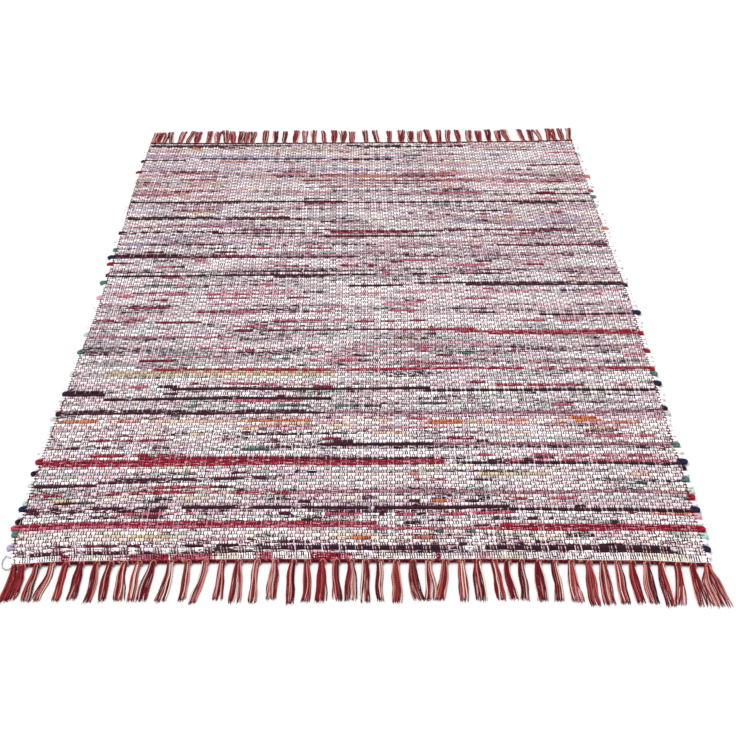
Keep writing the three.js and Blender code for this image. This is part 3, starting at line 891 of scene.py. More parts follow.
def weft_rags():
    """The rag of every weft row at every column: the ground's runs, then the streaks. Two more
    tables have the rag under each streak and how much of that shows through it."""
    across = weft_shares() * FIELD_WIDE
    rags = np.empty((WEFT_ROWS, len(across)), object)
    under = np.full(rags.shape, "", object)
    shown = np.zeros(rags.shape)
    for row in range(WEFT_ROWS):
        chance = np.random.default_rng(4100 + row)
        along = (row + 0.5) * ROW + 10 * math.exp(-row / 28)
        rags[row] = rag_runs(along, across, chance)
    for number, streak in enumerate(STREAKS):
        row = row_of(streak.along, (streak.first + streak.last) / 2)
        thin = 0.5 + 0.5 * drift(across, STREAK_STEP, number, 21)
        inside = np.minimum(across - streak.first, streak.last - across)
        cover = min(streak.cover + (FAR_COVER if streak.along > MIDDLE_ALONG else 0), 1)
        thin = 0.3 + 1.3 * (thin - cover) + 0.4 * np.exp(-np.maximum(inside, 0) / 7)
        most = THIN_STREAK - 0.4 * cover
        covered = inside >= 0
        under[row, covered] = rags[row, covered]
        shown[row, covered] = np.clip(thin[covered], 0, most)
        rags[row, covered] = streak.rag
    # The first weft lies double beside its header cord.
    for table in (rags, under, shown):
        table[1] = table[0]
    return rags, under, shown


def weft_colours(rags, under, shown, colours):
    """The dye of every weft row at every column, and what marls it with its share."""
    across = weft_shares() * FIELD_WIDE
    palette = {name: np.array(getattr(colours, name)) for name in RAGS}
    grid = np.empty(rags.shape + (3,))
    marl = np.empty(rags.shape + (4,))
    for row in range(WEFT_ROWS):
        chance = np.random.default_rng(6500 + row)
        tint = np.array([palette[name] for name in rags[row]])
        light = (1.06 - 0.38 * chance.random(len(across)) ** 3 + 0.13 * uneven(row, 9)
                 + 0.12 * drift(across, 45, row, 13))
        hue = 1 + 0.05 * (2 * chance.random((len(across), 3)) - 1)
        grid[row] = np.clip(tint * light[:, None] * hue, 0, 1)
        more = 1 + 0.6 * drift(across, 120, row, 11) + 0.6 * uneven(row, 17)
        streaked = under[row] != ""
        shares = np.array([RAGS[name].share for name in rags[row]]) * np.where(streaked, 1, more)
        bare = streaked & (shown[row] > shares)
        seconds = [other if seen else RAGS[name].marl
                   for name, other, seen in zip(rags[row], under[row], bare)]
        marl[row, :, :3] = [palette[name] for name in seconds]
        marl[row, :, 3] = np.where(bare, shown[row], shares)
    return grid, marl


def weft_corners(grid, marl, rags):
    """The dye and the streaks at the left and right of each cell between two columns. Where
    one rag gives way to the next, the next one's streaks grow until they cover the cell."""
    alike = (rags[:, :-1] == rags[:, 1:])[:, :, None]
    left = grid[:, :-1]
    right = np.where(alike, grid[:, 1:], left)
    following = np.concatenate([grid[:, 1:], np.zeros(left.shape[:2] + (1,))], axis=2)
    covered = following.copy()
    covered[:, :, 3] = 1
    streaks_left = np.where(alike, marl[:, :-1], following)
    same = np.concatenate([marl[:, :-1, :3], marl[:, 1:, 3:]], axis=2)
    streaks_right = np.where(alike, same, covered)
    return left, right, streaks_left, streaks_right


Faces = namedtuple("Faces", "corners dye lay bake smooth streaks")


class Pile:
    """Gathers points and faces, with two colours and two map places at each face corner. The
    second colour's fourth number is how much of it shows in streaks."""

    def __init__(self):
        self.points = []
        self.count = 0
        self.faces = []

    def add_points(self, points):
        """Adds points and returns the number of the first."""
        points = np.asarray(points, float).reshape(-1, 3)
        self.points.append(points)
        self.count += len(points)
        return self.count - len(points)

    def add_faces(self, corners, colours, lay, bake, smooth=True, streaks=(0, 0, 0, 0)):
        """Faces of one number of corners; the colours and map places are one to a corner."""
        corners = np.asarray(corners)
        shape = corners.shape
        self.faces.append(Faces(
            corners,
            np.broadcast_to(colours, shape + (3,)).reshape(-1, 3),
            np.broadcast_to(lay, shape + (2,)).reshape(-1, 2),
            np.broadcast_to(bake, shape + (2,)).reshape(-1, 2),
            np.full(shape[0], smooth),
            np.broadcast_to(streaks, shape + (4,)).reshape(-1, 4),
        ))

    def mesh(self, name):
        """One mesh of all that was added, in metres."""
        points = np.concatenate(self.points) * MM
        sizes = np.concatenate([np.full(*faces.corners.shape) for faces in self.faces])
        corners = np.concatenate([faces.corners.ravel() for faces in self.faces])
        smooth = np.concatenate([faces.smooth for faces in self.faces])
        mesh = bpy.data.meshes.new(name)
        mesh.vertices.add(len(points))
        mesh.vertices.foreach_set("co", points.astype(np.float32).ravel())
        mesh.loops.add(len(corners))
        mesh.loops.foreach_set("vertex_index", corners.astype(np.int32))
        mesh.polygons.add(len(sizes))
        starts = np.concatenate([[0], np.cumsum(sizes)[:-1]])
        mesh.polygons.foreach_set("loop_start", starts.astype(np.int32))
        mesh.polygons.foreach_set("use_smooth", smooth)
        mesh.update(calc_edges=True)
        colour = mesh.color_attributes.new("dye", "FLOAT_COLOR", "CORNER")
        tints = np.concatenate([faces.dye for faces in self.faces])
        tints = np.column_stack([tints, np.ones(len(tints))])
        colour.data.foreach_set("color", tints.astype(np.float32).ravel())
        streaks = np.concatenate([faces.streaks for faces in self.faces]).astype(np.float32)
        if streaks.any():
            colour = mesh.color_attributes.new("streaks", "FLOAT_COLOR", "CORNER")
            colour.data.foreach_set("color", streaks.ravel())
        for layer, part in (("lay", "lay"), ("OFBake", "bake")):
            places = np.concatenate([getattr(faces, part) for faces in self.faces])
            places = places.astype(np.float32).ravel()
            mesh.uv_layers.new(name=layer).uv.foreach_set("vector", places)
        return mesh


def show(mesh, name, finish, node):
    """Puts a mesh in the scene as one piece of the rug."""
    piece = bpy.data.objects.new(name, mesh)
    bpy.context.scene.collection.objects.link(piece)
    mesh.materials.append(finish)
    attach(piece, "root")
    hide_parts(node)
    return piece


def tube_rings(paths, radii, sides, flat):
    """Rings of points round many paths at once. Paths are tubes by points by three."""
    paths = np.asarray(paths, float)
    ahead = np.gradient(paths, axis=1)
    ahead /= np.linalg.norm(ahead, axis=2, keepdims=True) + 1e-12
    up = np.zeros_like(paths)
    start = np.tile([0.0, 0.0, 1.0], (len(paths), 1))
    steep = np.abs(ahead[:, 0, 2]) > 0.8
    start[steep] = [0.0, 1.0, 0.0]
    for step in range(paths.shape[1]):
        way = ahead[:, step]
        start = start - way * (start * way).sum(1, keepdims=True)
        start /= np.linalg.norm(start, axis=1, keepdims=True) + 1e-12
        up[:, step] = start
    aside = np.cross(ahead, up)
    turn = 2 * np.pi * (np.arange(sides) + 0.5) / sides
    radii = np.broadcast_to(radii, paths.shape[:2])[:, :, None, None]
    ring = (aside[:, :, None] * np.cos(turn)[None, None, :, None]
            + up[:, :, None] * flat * np.sin(turn)[None, None, :, None])
    return paths[:, :, None] + radii * ring


def add_tubes(pile, paths, radii, sides, colours, flat=1.0, blocks=None, place=None):
    """Closed tubes along many paths of one number of points, with one colour to each tube or
    to each of its points. Their bake map is laid out by blocks, or by place for each point."""
    paths = np.asarray(paths, float)
    tubes, steps = paths.shape[:2]
    rings = tube_rings(paths, radii, sides, flat)
    first = pile.add_points(rings)
    index = first + np.arange(tubes * steps * sides).reshape(tubes, steps, sides)
    following = np.roll(index, -1, axis=2)
    quads = np.stack([index[:, :-1], following[:, :-1], following[:, 1:], index[:, 1:]], axis=-1)
    length = np.linalg.norm(np.diff(paths, axis=1), axis=2)
    length = np.concatenate([np.zeros((tubes, 1)), np.cumsum(length, axis=1)], axis=1)
    around = 2 * np.pi * np.broadcast_to(radii, (tubes, steps)).max() * (1 + flat) / 2
    side = np.arange(sides + 1) / sides * around
    lay = np.empty((tubes, steps - 1, sides, 4, 2))
    lay[..., 0, 0] = lay[..., 1, 0] = length[:, :-1, None]
    lay[..., 2, 0] = lay[..., 3, 0] = length[:, 1:, None]
    lay[..., 0, 1] = lay[..., 3, 1] = side[:-1]
    lay[..., 1, 1] = lay[..., 2, 1] = side[1:]
    colours = np.asarray(colours, float)
    if colours.ndim == 2:
        colours = np.repeat(colours[:, None], steps, axis=1)
    tint = np.empty((tubes, steps - 1, sides, 4, 3))
    tint[..., 0, :] = tint[..., 1, :] = colours[:, :-1, None]
    tint[..., 2, :] = tint[..., 3, :] = colours[:, 1:, None]
    if blocks is not None:
        bake = blocks.take(lay, length, around)
    else:
        lay[...] = WEFT_MIDDLE
        bake = np.empty_like(lay)
        spots = place(rings)
        bake[..., 0, :] = spots[:, :-1]
        bake[..., 1, :] = np.roll(spots, -1, axis=2)[:, :-1]
        bake[..., 2, :] = np.roll(spots, -1, axis=2)[:, 1:]
        bake[..., 3, :] = spots[:, 1:]
    pile.add_faces(quads.reshape(-1, 4), tint.reshape(-1, 4, 3), lay.reshape(-1, 4, 2),
                   bake.reshape(-1, 4, 2))
    for end, step in ((0, 0), (1, steps - 1)):
        cap = index[:, step] if end else index[:, step, ::-1]
        corner = 3 if end else 0
        segment = steps - 2 if end else 0
        spot = bake[:, segment, :, corner]
        pile.add_faces(cap, np.repeat(colours[:, step, None], sides, axis=1),
                       lay[:, segment, :, corner],
                       spot if end else spot[:, ::-1])
    return rings


# The longest stretch of a tube that has one block of a map to itself, in millimetres.
LONGEST_BLOCK = 240


class Blocks:
    """Lays out the bake map of many tubes side by side in one square."""

    def __init__(self, wide, gap=1.2):
        self.wide = wide
        self.gap = gap
        self.right = 0.0
        self.top = 0.0
        self.tall = 0.0

    def spot(self, wide, tall):
        """The next free corner for a block: to the right, or else on a new line."""
        if self.right + wide > self.wide:
            self.right = 0.0
            self.top += self.tall + self.gap
            self.tall = 0.0
        corner = (self.right, self.top)
        self.right += wide + self.gap
        self.tall = max(self.tall, tall)
        if self.top + tall > self.wide:
            raise ValueError(f"the bake map of {self.wide} mm is too small")
        return corner

    def take(self, lay, length, around):
        """Moves each tube's map into a free spot, a long one in several stretches."""
        bake = lay.copy()
        for tube in range(len(lay)):
            total = length[tube, -1]
            stretches = max(1, math.ceil(total / LONGEST_BLOCK))
            marks = np.linspace(0, total, stretches + 1)
            middle = (length[tube, :-1] + length[tube, 1:]) / 2
            which = np.clip(np.searchsorted(marks, middle) - 1, 0, stretches - 1)
            for stretch in range(stretches):
                here = which == stretch
                start = lay[tube, here, ..., 0].min()
                wide = lay[tube, here, ..., 0].max() - start
                across, up = self.spot(wide, around)
                bake[tube, here, ..., 0] += across - start
                bake[tube, here, ..., 1] += up
        return bake / self.wide


# Finishes


class Value:
    """A shader socket in Python expressions; each operator adds its Math node."""

    def __init__(self, finish, socket):
        self.finish = finish
        self.socket = socket

    def math(self, operation, first, second=None):
        """Adds a Math node and returns its output."""
        inputs = {0: first} if second is None else {0: first, 1: second}
        return self.finish.node("ShaderNodeMath", {"operation": operation}, inputs)

    def __add__(self, other):
        return self.math("ADD", self, other)

    __radd__ = __add__

    def __sub__(self, other):
        return self.math("SUBTRACT", self, other)

    def __rsub__(self, other):
        return self.math("SUBTRACT", other, self)

    def __mul__(self, other):
        return self.math("MULTIPLY", self, other)

    __rmul__ = __mul__

    def __pow__(self, other):
        return self.math("POWER", self, other)

    def sine(self):
        """The sine of the value, in radians."""
        return self.math("SINE", self)

    def least(self, other):
        """The smaller of two values."""
        return self.math("MINIMUM", self, other)

    def to_whole(self):
        """How far the value is from the nearest whole number."""
        return self.math("PINGPONG", self, 0.5)

    def clamped(self):
        """The value held between 0 and 1."""
        return self.finish.node("ShaderNodeClamp", None, {"Value": self})


class Finish:
    """One material and its node tree."""

    def __init__(self, name):
        self.material = bpy.data.materials.new(name)
        self.material.use_nodes = True
        self.tree = self.material.node_tree
        self.tree.nodes.clear()

    def node(self, kind, settings=None, inputs=None, output=0):
        """Adds a node, sets it up, feeds its sockets and returns one of its outputs."""
        node = self.tree.nodes.new(kind)
        for name, value in (settings or {}).items():
            setattr(node, name, value)
        for name, value in (inputs or {}).items():
            if isinstance(value, Value):
                self.tree.links.new(value.socket, node.inputs[name])
            else:
                node.inputs[name].default_value = value
        return Value(self, node.outputs[output]) if len(node.outputs) else None

    def scaled(self, colour, amount):
        """A colour made lighter or darker by a number."""
        return self.node("ShaderNodeVectorMath", {"operation": "SCALE"},
                         {"Vector": colour, "Scale": amount})

    def mixed(self, first, second, share):
        """The first colour with a share of the second."""
        return self.node("ShaderNodeMix", {"data_type": "RGBA"}, {0: share, 6: first, 7: second},
                         output=2)

    def stretched(self, place, stretch):
        """A place with each of its axes scaled."""
        return self.node("ShaderNodeVectorMath", {"operation": "MULTIPLY"},
                         {0: place, 1: stretch})

    def noise(self, place, stretch, detail):
        """Noise that is fine along the axes with a large stretch."""
        return self.node("ShaderNodeTexNoise", {"noise_dimensions": "3D"},
                         {"Vector": self.stretched(place, stretch), "Scale": 1.0,
                          "Detail": detail, "Roughness": 0.6})

    def surface(self, colour, roughness, height, distance, strength):
        """The matt cotton surface over a bump, as the finished material."""
        normal = self.node("ShaderNodeBump", None,
                           {"Strength": strength, "Distance": distance, "Height": height})
        shader = self.node("ShaderNodeBsdfPrincipled", None, {
            "Base Color": colour, "Roughness": roughness, "Normal": normal,
            "Specular IOR Level": 0.08, "Sheen Weight": 0.03, "Sheen Roughness": 0.6,
        })
        self.node("ShaderNodeOutputMaterial", None, {"Surface": shader})
        return self.material


def rag_finish():
    """Torn cotton rag: marled colour, long fibres along the strip and a soft crumple, parted
    into blobs by dark gaps where the warp dives. The gaps' dark is the warp yarn's colour with
    painted shade, and the gaps widen near the grooves between rows as painted shade in the
    corners between the blobs."""
    finish = Finish("rag_cotton")
    place = finish.node("ShaderNodeTexCoord", output="Object")
    dye = finish.node("ShaderNodeAttribute", {"attribute_name": "dye"}, output="Color")
    second = finish.node("ShaderNodeAttribute", {"attribute_name": "streaks"}, output="Color")
    share = finish.node("ShaderNodeAttribute", {"attribute_name": "streaks"}, output="Alpha")
    strand = finish.noise(place, (70, 330, 330), 2.0)
    fibre = finish.noise(place, (320, 1900, 1900), 2.0)
    crumple = finish.noise(place, (90, 420, 420), 1.0)
    streaks = ((strand - 0.72 + 0.44 * share) * 14 + 0.5).clamped()
    shade = 0.66 + 0.4 * crumple + 0.28 * fibre
    colour = finish.scaled(finish.mixed(dye, second, streaks), shade)
    lay = finish.node("ShaderNodeUVMap", {"uv_map": "lay"})
    repeat = finish.node("ShaderNodeSeparateXYZ", None, {"Vector": lay}, output="X")
    up = finish.node("ShaderNodeSeparateXYZ", None, {"Vector": lay}, output="Y")
    # Painted shade: the weft darkens towards the warp's colour in the gaps where the warp dives,
    # and the gaps widen towards the grooves between rows, as shade in the corners between blobs.
    aside = (repeat - WEFT_GAPS[0]).to_whole() + 0.025
    for gap in WEFT_GAPS[1:]:
        aside = aside.least((repeat - gap).to_whole())
    edge = (up - 0.5) * 2
    reach = 0.02 + 0.06 * edge * edge + 0.06 * (crumple - 0.5)
    warp_and_shade_gaps = ((reach - aside) * 40 + 0.5).clamped() * 0.85
    colour = finish.mixed(colour, GAP_WARP_AND_SHADE_COLOUR, warp_and_shade_gaps)
    return finish.surface(colour, 0.82 + 0.14 * fibre, crumple + fibre * 0.35, 0.0012, 0.7)


def yarn_finish(name, ply, depth):
    """Twisted cotton yarn: plies that wind round it, with a fine fibre."""
    finish = Finish(name)
    place = finish.node("ShaderNodeTexCoord", output="Object")
    dye = finish.node("ShaderNodeAttribute", {"attribute_name": "dye"}, output="Color")
    lay = finish.node("ShaderNodeUVMap", {"uv_map": "lay"})
    along = finish.node("ShaderNodeSeparateXYZ", None, {"Vector": lay}, output="X")
    around = finish.node("ShaderNodeSeparateXYZ", None, {"Vector": lay}, output="Y")
    turn = 2 * math.pi / ply
    twist = (along * turn + around * turn * 0.8).sine()
    fibre = finish.noise(place, (1500, 1500, 1500), 2.0)
    shade = 0.72 + 0.16 * twist + 0.36 * fibre
    colour = finish.scaled(dye, shade)
    return finish.surface(colour, 0.8 + 0.15 * fibre, twist * 0.5 + fibre * 0.4, depth, 0.6)


# Woven field


SECTIONS = 3
SECTION_MARGIN = 0.02
UNDERSIDE_STRIP = 0.03


def bake_place(share, straight, band, section):
    """A place in a band's bake map: thirds of the band's width lie one above another."""
    wide = 1 / SECTIONS + 2 * SECTION_MARGIN
    across = (share - section / SECTIONS + SECTION_MARGIN) / wide
    rows = straight / ROW - band * BAND_ROWS
    up = (section + 0.01 + 0.98 * (rows + 0.5) / (BAND_ROWS + 1)) / SECTIONS
    return np.stack(np.broadcast_arrays(across, up * (1 - UNDERSIDE_STRIP)), axis=-1)


def zipped(one, other, one_shares, other_shares):
    """Triangles between two lines of points that run side by side."""
    faces = []
    here = 0
    there = 0
    while here + 1 < len(one) or there + 1 < len(other):
        if there + 1 == len(other) or (
                here + 1 < len(one) and one_shares[here + 1] <= other_shares[there + 1]):
            faces.append((one[here], one[here + 1], other[there]))
            here += 1
        else:
            faces.append((one[here], other[there + 1], other[there]))
            there += 1
    return np.array(faces)


def weft_top(pile, band, sizes, dyes, edges):
    """The upper side of one band's weft rows; returns its points' numbers by line and column."""
    shares = weft_shares()
    rows = np.arange(band * BAND_ROWS, (band + 1) * BAND_ROWS)
    lines = [(row, line) for row in rows for line in WEFT_LINES]
    row_at = np.array([row for row, _ in lines] + [rows[-1] + 1], float)
    line_at = np.array([line.share for _, line in lines] + [0])
    rise = np.array([line.rise for _, line in lines] + [0])
    straight = ((row_at + line_at) * ROW)[:, None]
    share = shares[None, :]
    across, along = weave_place(share, straight, sizes, edges)
    valley = sizes.valley / MM
    crest = crest_height(share, np.minimum(row_at, WEFT_ROWS - 1)[:, None], sizes)
    height = valley + rise[:, None] * (crest - valley)
    first = pile.add_points(np.stack([across, along, height], axis=-1))
    index = first + np.arange(across.size).reshape(across.shape)
    quads = np.stack([index[:-1, :-1], index[:-1, 1:], index[1:, 1:], index[1:, :-1]], axis=-1)
    left, right, streaks_left, streaks_right = (dye[row_at[:-1].astype(int)] for dye in dyes)
    tint = np.stack([left, right, right, left], axis=2)
    streaks = np.stack([streaks_left, streaks_right, streaks_right, streaks_left], axis=2)
    section = np.minimum(np.arange(len(shares) - 1) * SECTIONS // (len(shares) - 1), SECTIONS - 1)
    bake = np.empty(quads.shape + (2,))
    lay = np.empty(quads.shape + (2,))
    row_here = row_at[:-1, None]
    for corner, (later, beside) in enumerate(((0, 0), (0, 1), (1, 1), (1, 0))):
        at_line = straight[later:len(straight) - 1 + later]
        at_share = share[:, beside:len(shares) - 1 + beside]
        bake[:, :, corner] = bake_place(at_share, at_line, band, section[None, :])
        repeat = at_share * REPEATS + CHART_SHIFT + 0.5 * shed(row_here)
        lay[:, :, corner, 0] = np.where(np.isin(row_here, END_ROWS), WEFT_MIDDLE[0], repeat)
        lay[:, :, corner, 1] = at_line / ROW - row_here
    pile.add_faces(quads.reshape(-1, 4), tint.reshape(-1, 4, 3), lay.reshape(-1, 4, 2),
                   bake.reshape(-1, 4, 2), streaks=streaks.reshape(-1, 4, 4))
    return index, straight[:, 0], shares


def weft_underside(pile, band, index, straight, shares, grid):
    """The flat underside of a band and the walls down to it, all of them closed."""
    low_shares = np.linspace(0, 1, 10)
    low_lines = straight[::len(WEFT_LINES)]
    across, along = field_place(low_shares[None, :], low_lines[:, None])
    first = pile.add_points(np.stack([across, along, np.zeros_like(across)], axis=-1))
    low = first + np.arange(across.size).reshape(across.shape)
    quads = np.stack([low[:-1, :-1], low[1:, :-1], low[1:, 1:], low[:-1, 1:]], axis=-1)
    strip = 1 - UNDERSIDE_STRIP * 0.9

    def spots(faces):
        """Places in the strip of the map that is kept for the underside."""
        inside = np.clip(faces - first, 0, across.size - 1)
        return np.stack([
            low_shares[inside % len(low_shares)],
            strip + (1 - strip) * (inside // len(low_shares)) / len(low_lines),
        ], axis=-1)

    rows = np.clip(np.arange(len(low_lines) - 1) + band * BAND_ROWS, 0, WEFT_ROWS - 1)
    columns = (low_shares[:-1] * (len(shares) - 1)).astype(int)
    tint = np.repeat(grid[rows][:, columns].reshape(-1, 1, 3), 4, axis=1)
    pile.add_faces(quads.reshape(-1, 4), tint, WEFT_MIDDLE, spots(quads.reshape(-1, 4)), False)
    walls = (
        zipped(index[0], low[0], shares, low_shares)[:, ::-1],
        zipped(index[-1], low[-1], shares, low_shares),
        zipped(index[:, 0], low[:, 0], straight, low_lines),
        zipped(index[:, -1], low[:, -1], straight, low_lines)[:, ::-1],
    )
    colour = grid[rows].mean(axis=(0, 1))
    for wall in walls:
        pile.add_faces(wall, np.broadcast_to(colour, wall.shape + (3,)), WEFT_MIDDLE,
                       spots(np.where(wall >= first, wall, first)), False)


def sharpen_valleys(mesh, index):
    """Marks the grooves between the weft rows as sharp edges."""
    line_of = np.full(len(mesh.vertices), -1)
    for line in range(0, len(index), len(WEFT_LINES)):
        line_of[index[line]] = line
    ends = np.empty(2 * len(mesh.edges), np.int32)
    mesh.edges.foreach_get("vertices", ends)
    ends = line_of[ends.reshape(-1, 2)]
    sharp = (ends[:, 0] == ends[:, 1]) & (ends[:, 0] >= 0)
    mesh.attributes.new("sharp_edge", "BOOLEAN", "EDGE").data.foreach_set("value", sharp)


def turn_reach(turn, side):
    """How far a weft turn stands out past the edge warps."""
    return TURN_REACH + TURN_UNEVENNESS * float(uneven(turn, CHANCE_OF[side + " turn"]))


def turn_rag(side, along, turn):
    """The rag of a weft turn: a noted one, or else one of the usual pale ones."""
    for place, rag in TURNS[side].items():
        if abs(place - along) <= ROW:
            return rag
    chance = np.random.default_rng(7700 + turn + (500 if side == "right" else 0))
    return pick(PALE_TURNS, chance)


def weft_turns(band, side, sizes, colours):
    """Paths, half widths and colours of the turns at one side of one band."""
    out = -1 if side == "left" else 1
    share = 0.0 if side == "left" else 1.0
    half = sizes.turn_half / MM
    paths = []
    radii = []
    tints = []
    for row in range(band * BAND_ROWS, (band + 1) * BAND_ROWS):
        if row % 2 != (0 if side == "left" else 1) or row + 1 == WEFT_ROWS:
            continue
        turn = (row + 1) // 2
        middle = (row + 1) * ROW
        rag = turn_rag(side, middle + 10 * math.exp(-middle / END_FADE), turn)
        fat = 0 if rag in PALE_TURNS else -0.6 if rag in SLIM_TURNS else 1
        reach = turn_reach(turn, side) + 1.5 * fat
        spread = 1 + 0.3 * fat + 0.22 * float(uneven(turn, 31 + out))
        high = max(LOWEST_TURN, 0.88 * half * spread ** 0.5)
        line = []
        for angle in np.linspace(-90, 90, 9):
            swing = math.cos(math.radians(angle))
            away = max(reach - half, 1.5) * max(swing, 0) ** 0.7
            straight = middle + 4.4 * math.sin(math.radians(angle)) * (1 + 0.12 * swing)
            across, along = field_place(share, np.array(min(max(straight, 0.5), FIELD_LONG - 0.5)))
            lean = 1.6 * float(uneven(turn, 37)) * swing
            line.append((float(across) + out * away, float(along) + lean, high + 0.3 * swing))
        first, last = ((x - out * TURN_TAIL, y, high) for x, y, _ in (line[0], line[-1]))
        line = [first, *line, last]
        paths.append(line)
        radii.append([half * 0.8, *[half * spread ** 0.5] * 9, half * 0.8])
        tints.append(getattr(colours, rag))
    if side == "left" and band == 0:
        corner = field_place(0.0, np.array(0.0))
        paths.append([(float(corner[0]) + x, float(corner[1]) + y, 2.0) for x, y in CORNER_LOOP])
        radii.append([0.9] * len(CORNER_LOOP))
        tints.append(np.array(colours.grey) * 0.55)
    return np.array(paths), np.array(radii), np.array(tints)


class RUG_OT_weft(bpy.types.Operator):
    """Lays the rag wefts in full-width bands, with their turns at both sides"""

    bl_idname = "rug.weft"
    bl_label = "Rag wefts"

    def execute(self, context):
        sizes = context.scene.rug_weave
        colours = context.scene.rug_rags
        finish = rag_finish()
        rags, under, shown = weft_rags()
        grid, marl = weft_colours(rags, under, shown, colours)
        dyes = weft_corners(grid, marl, rags)
        edges = row_edges(rags, sizes)
        for band in range(BANDS):
            pile = Pile()
            index, straight, shares = weft_top(pile, band, sizes, dyes, edges)
            weft_underside(pile, band, index, straight, shares, grid)
            for side in ("left", "right"):
                paths, radii, tints = weft_turns(band, side, sizes, colours)
                section = 0 if side == "left" else SECTIONS - 1

                def place(rings, section=section):
                    """Places in the outer third of the band's map, beside the field's side."""
                    share = (rings[..., 0] + MIDDLE_ACROSS) / FIELD_WIDE
                    return bake_place(share, rings[..., 1] + MIDDLE_ALONG, band, section)

                add_tubes(pile, paths, radii, 8, tints, flat=0.85, place=place)
            name = f"rag_weft_{band + 1}"
            mesh = pile.mesh(name)
            sharpen_valleys(mesh, index)
            show(mesh, name, finish, "woven_field")
        return {"FINISHED"}


# Warp ends


def clung(tint, dye):
    """A pale end takes on some of the dye of the rag that it is pressed into."""
    deep = dye.max(axis=1)
    share = 0.3 + 1.7 * (deep - dye.min(axis=1)) + 0.3 * np.clip(0.3 - deep, 0, 0.3) / 0.3
    return tint + (dye - tint) * np.clip(share, 0, 0.7)[:, None]


def warp_ends(band, sizes, colours, cloth):
    """Every warp end that lies over a row of one band: its share, row, thickness, colour and
    how far it stands on the weft."""
    shares = []
    rows = []
    thick = []
    tints = []
    stands = []
    for row in range(band * BAND_ROWS, (band + 1) * BAND_ROWS):
        over = int(shed(row))
        shift = 0 if row in END_ROWS else 0.5 * over
        chart = WARP_CHARTS[over]
        if row in END_ROWS:
            chart = END_CHART
        if row in OPEN_ROWS:
            chart = OPEN_CHART
        for number, end in enumerate(chart):
            repeat = np.arange(-1, REPEATS + 1)
            share = (repeat + end.share - shift - CHART_SHIFT) / REPEATS
            kept = (share > 0.009) & (share < 0.991)
            share = share[kept]
            place = repeat[kept] * REPEAT_PLACES + number + SECOND_CHART_PLACES * over
            own = 0 if row in OPEN_ROWS else ROW_PLACES * row
            jitter = 0.5 * uneven(place + own, 51) + 0.25 * uneven(place, 52)
            shares.append(share + jitter / FIELD_WIDE)
            rows.append(np.full(len(share), row))
            ripple = 0.2 * uneven(place + ROW_PLACES * row, 53)
            thick.append(end.thick * (1 + ripple + 0.22 * drift(row * ROW, 60, place, 57)))
            light = 1 + 0.3 * uneven(place, 54) + 0.3 * uneven(place + ROW_PLACES * row, 55)
            tint = np.array(getattr(colours, end.yarn))[None, :] * light[:, None]
            if end.yarn == "pale" and row not in OPEN_ROWS:
                tint = clung(tint, cloth[row][np.searchsorted(weft_shares(), share)])
            tints.append(tint)
            stands.append(np.full(len(share), sizes.warp_stand / MM))
        for side, offset in (("left", 0), ("right", 1)):
            away = (2.2 if row % 2 else 3.9) + 0.8 * float(uneven(row, 60 + offset))
            share = away / FIELD_WIDE if side == "left" else 1 - away / FIELD_WIDE
            shares.append(np.array([share]))
            rows.append(np.array([row]))
            thick.append(np.array([3.1 + 0.9 * float(uneven(row, 56 + offset))]))
            name = "dark_red" if uneven(row, 58 + offset) < 0.2 else "brown_black"
            tints.append(np.array([getattr(colours, name)]) * (0.8 + 0.3 * float(uneven(row, 62))))
            stands.append(np.array([0.9]))
    return (np.concatenate(shares), np.concatenate(rows), np.concatenate(thick),
            np.clip(np.concatenate(tints), 0, 1), np.concatenate(stands))


# A warp end that is thicker than this has a broad back.
BROAD_END = 1.78


def add_warp_ends(pile, band, sizes, colours, cloth, edges):
    """Each end over a row is a small body that arches over it and dives between the rows. A
    thick one has a broad back, and a fine one tapers from its middle."""
    share, row, thick, tint, stand = warp_ends(band, sizes, colours, cloth)
    broad = thick > BROAD_END
    for back, chosen in ((True, broad), (False, ~broad)):
        add_arches(pile, band, sizes, edges, share[chosen], row[chosen], thick[chosen],
                   tint[chosen], stand[chosen], back)


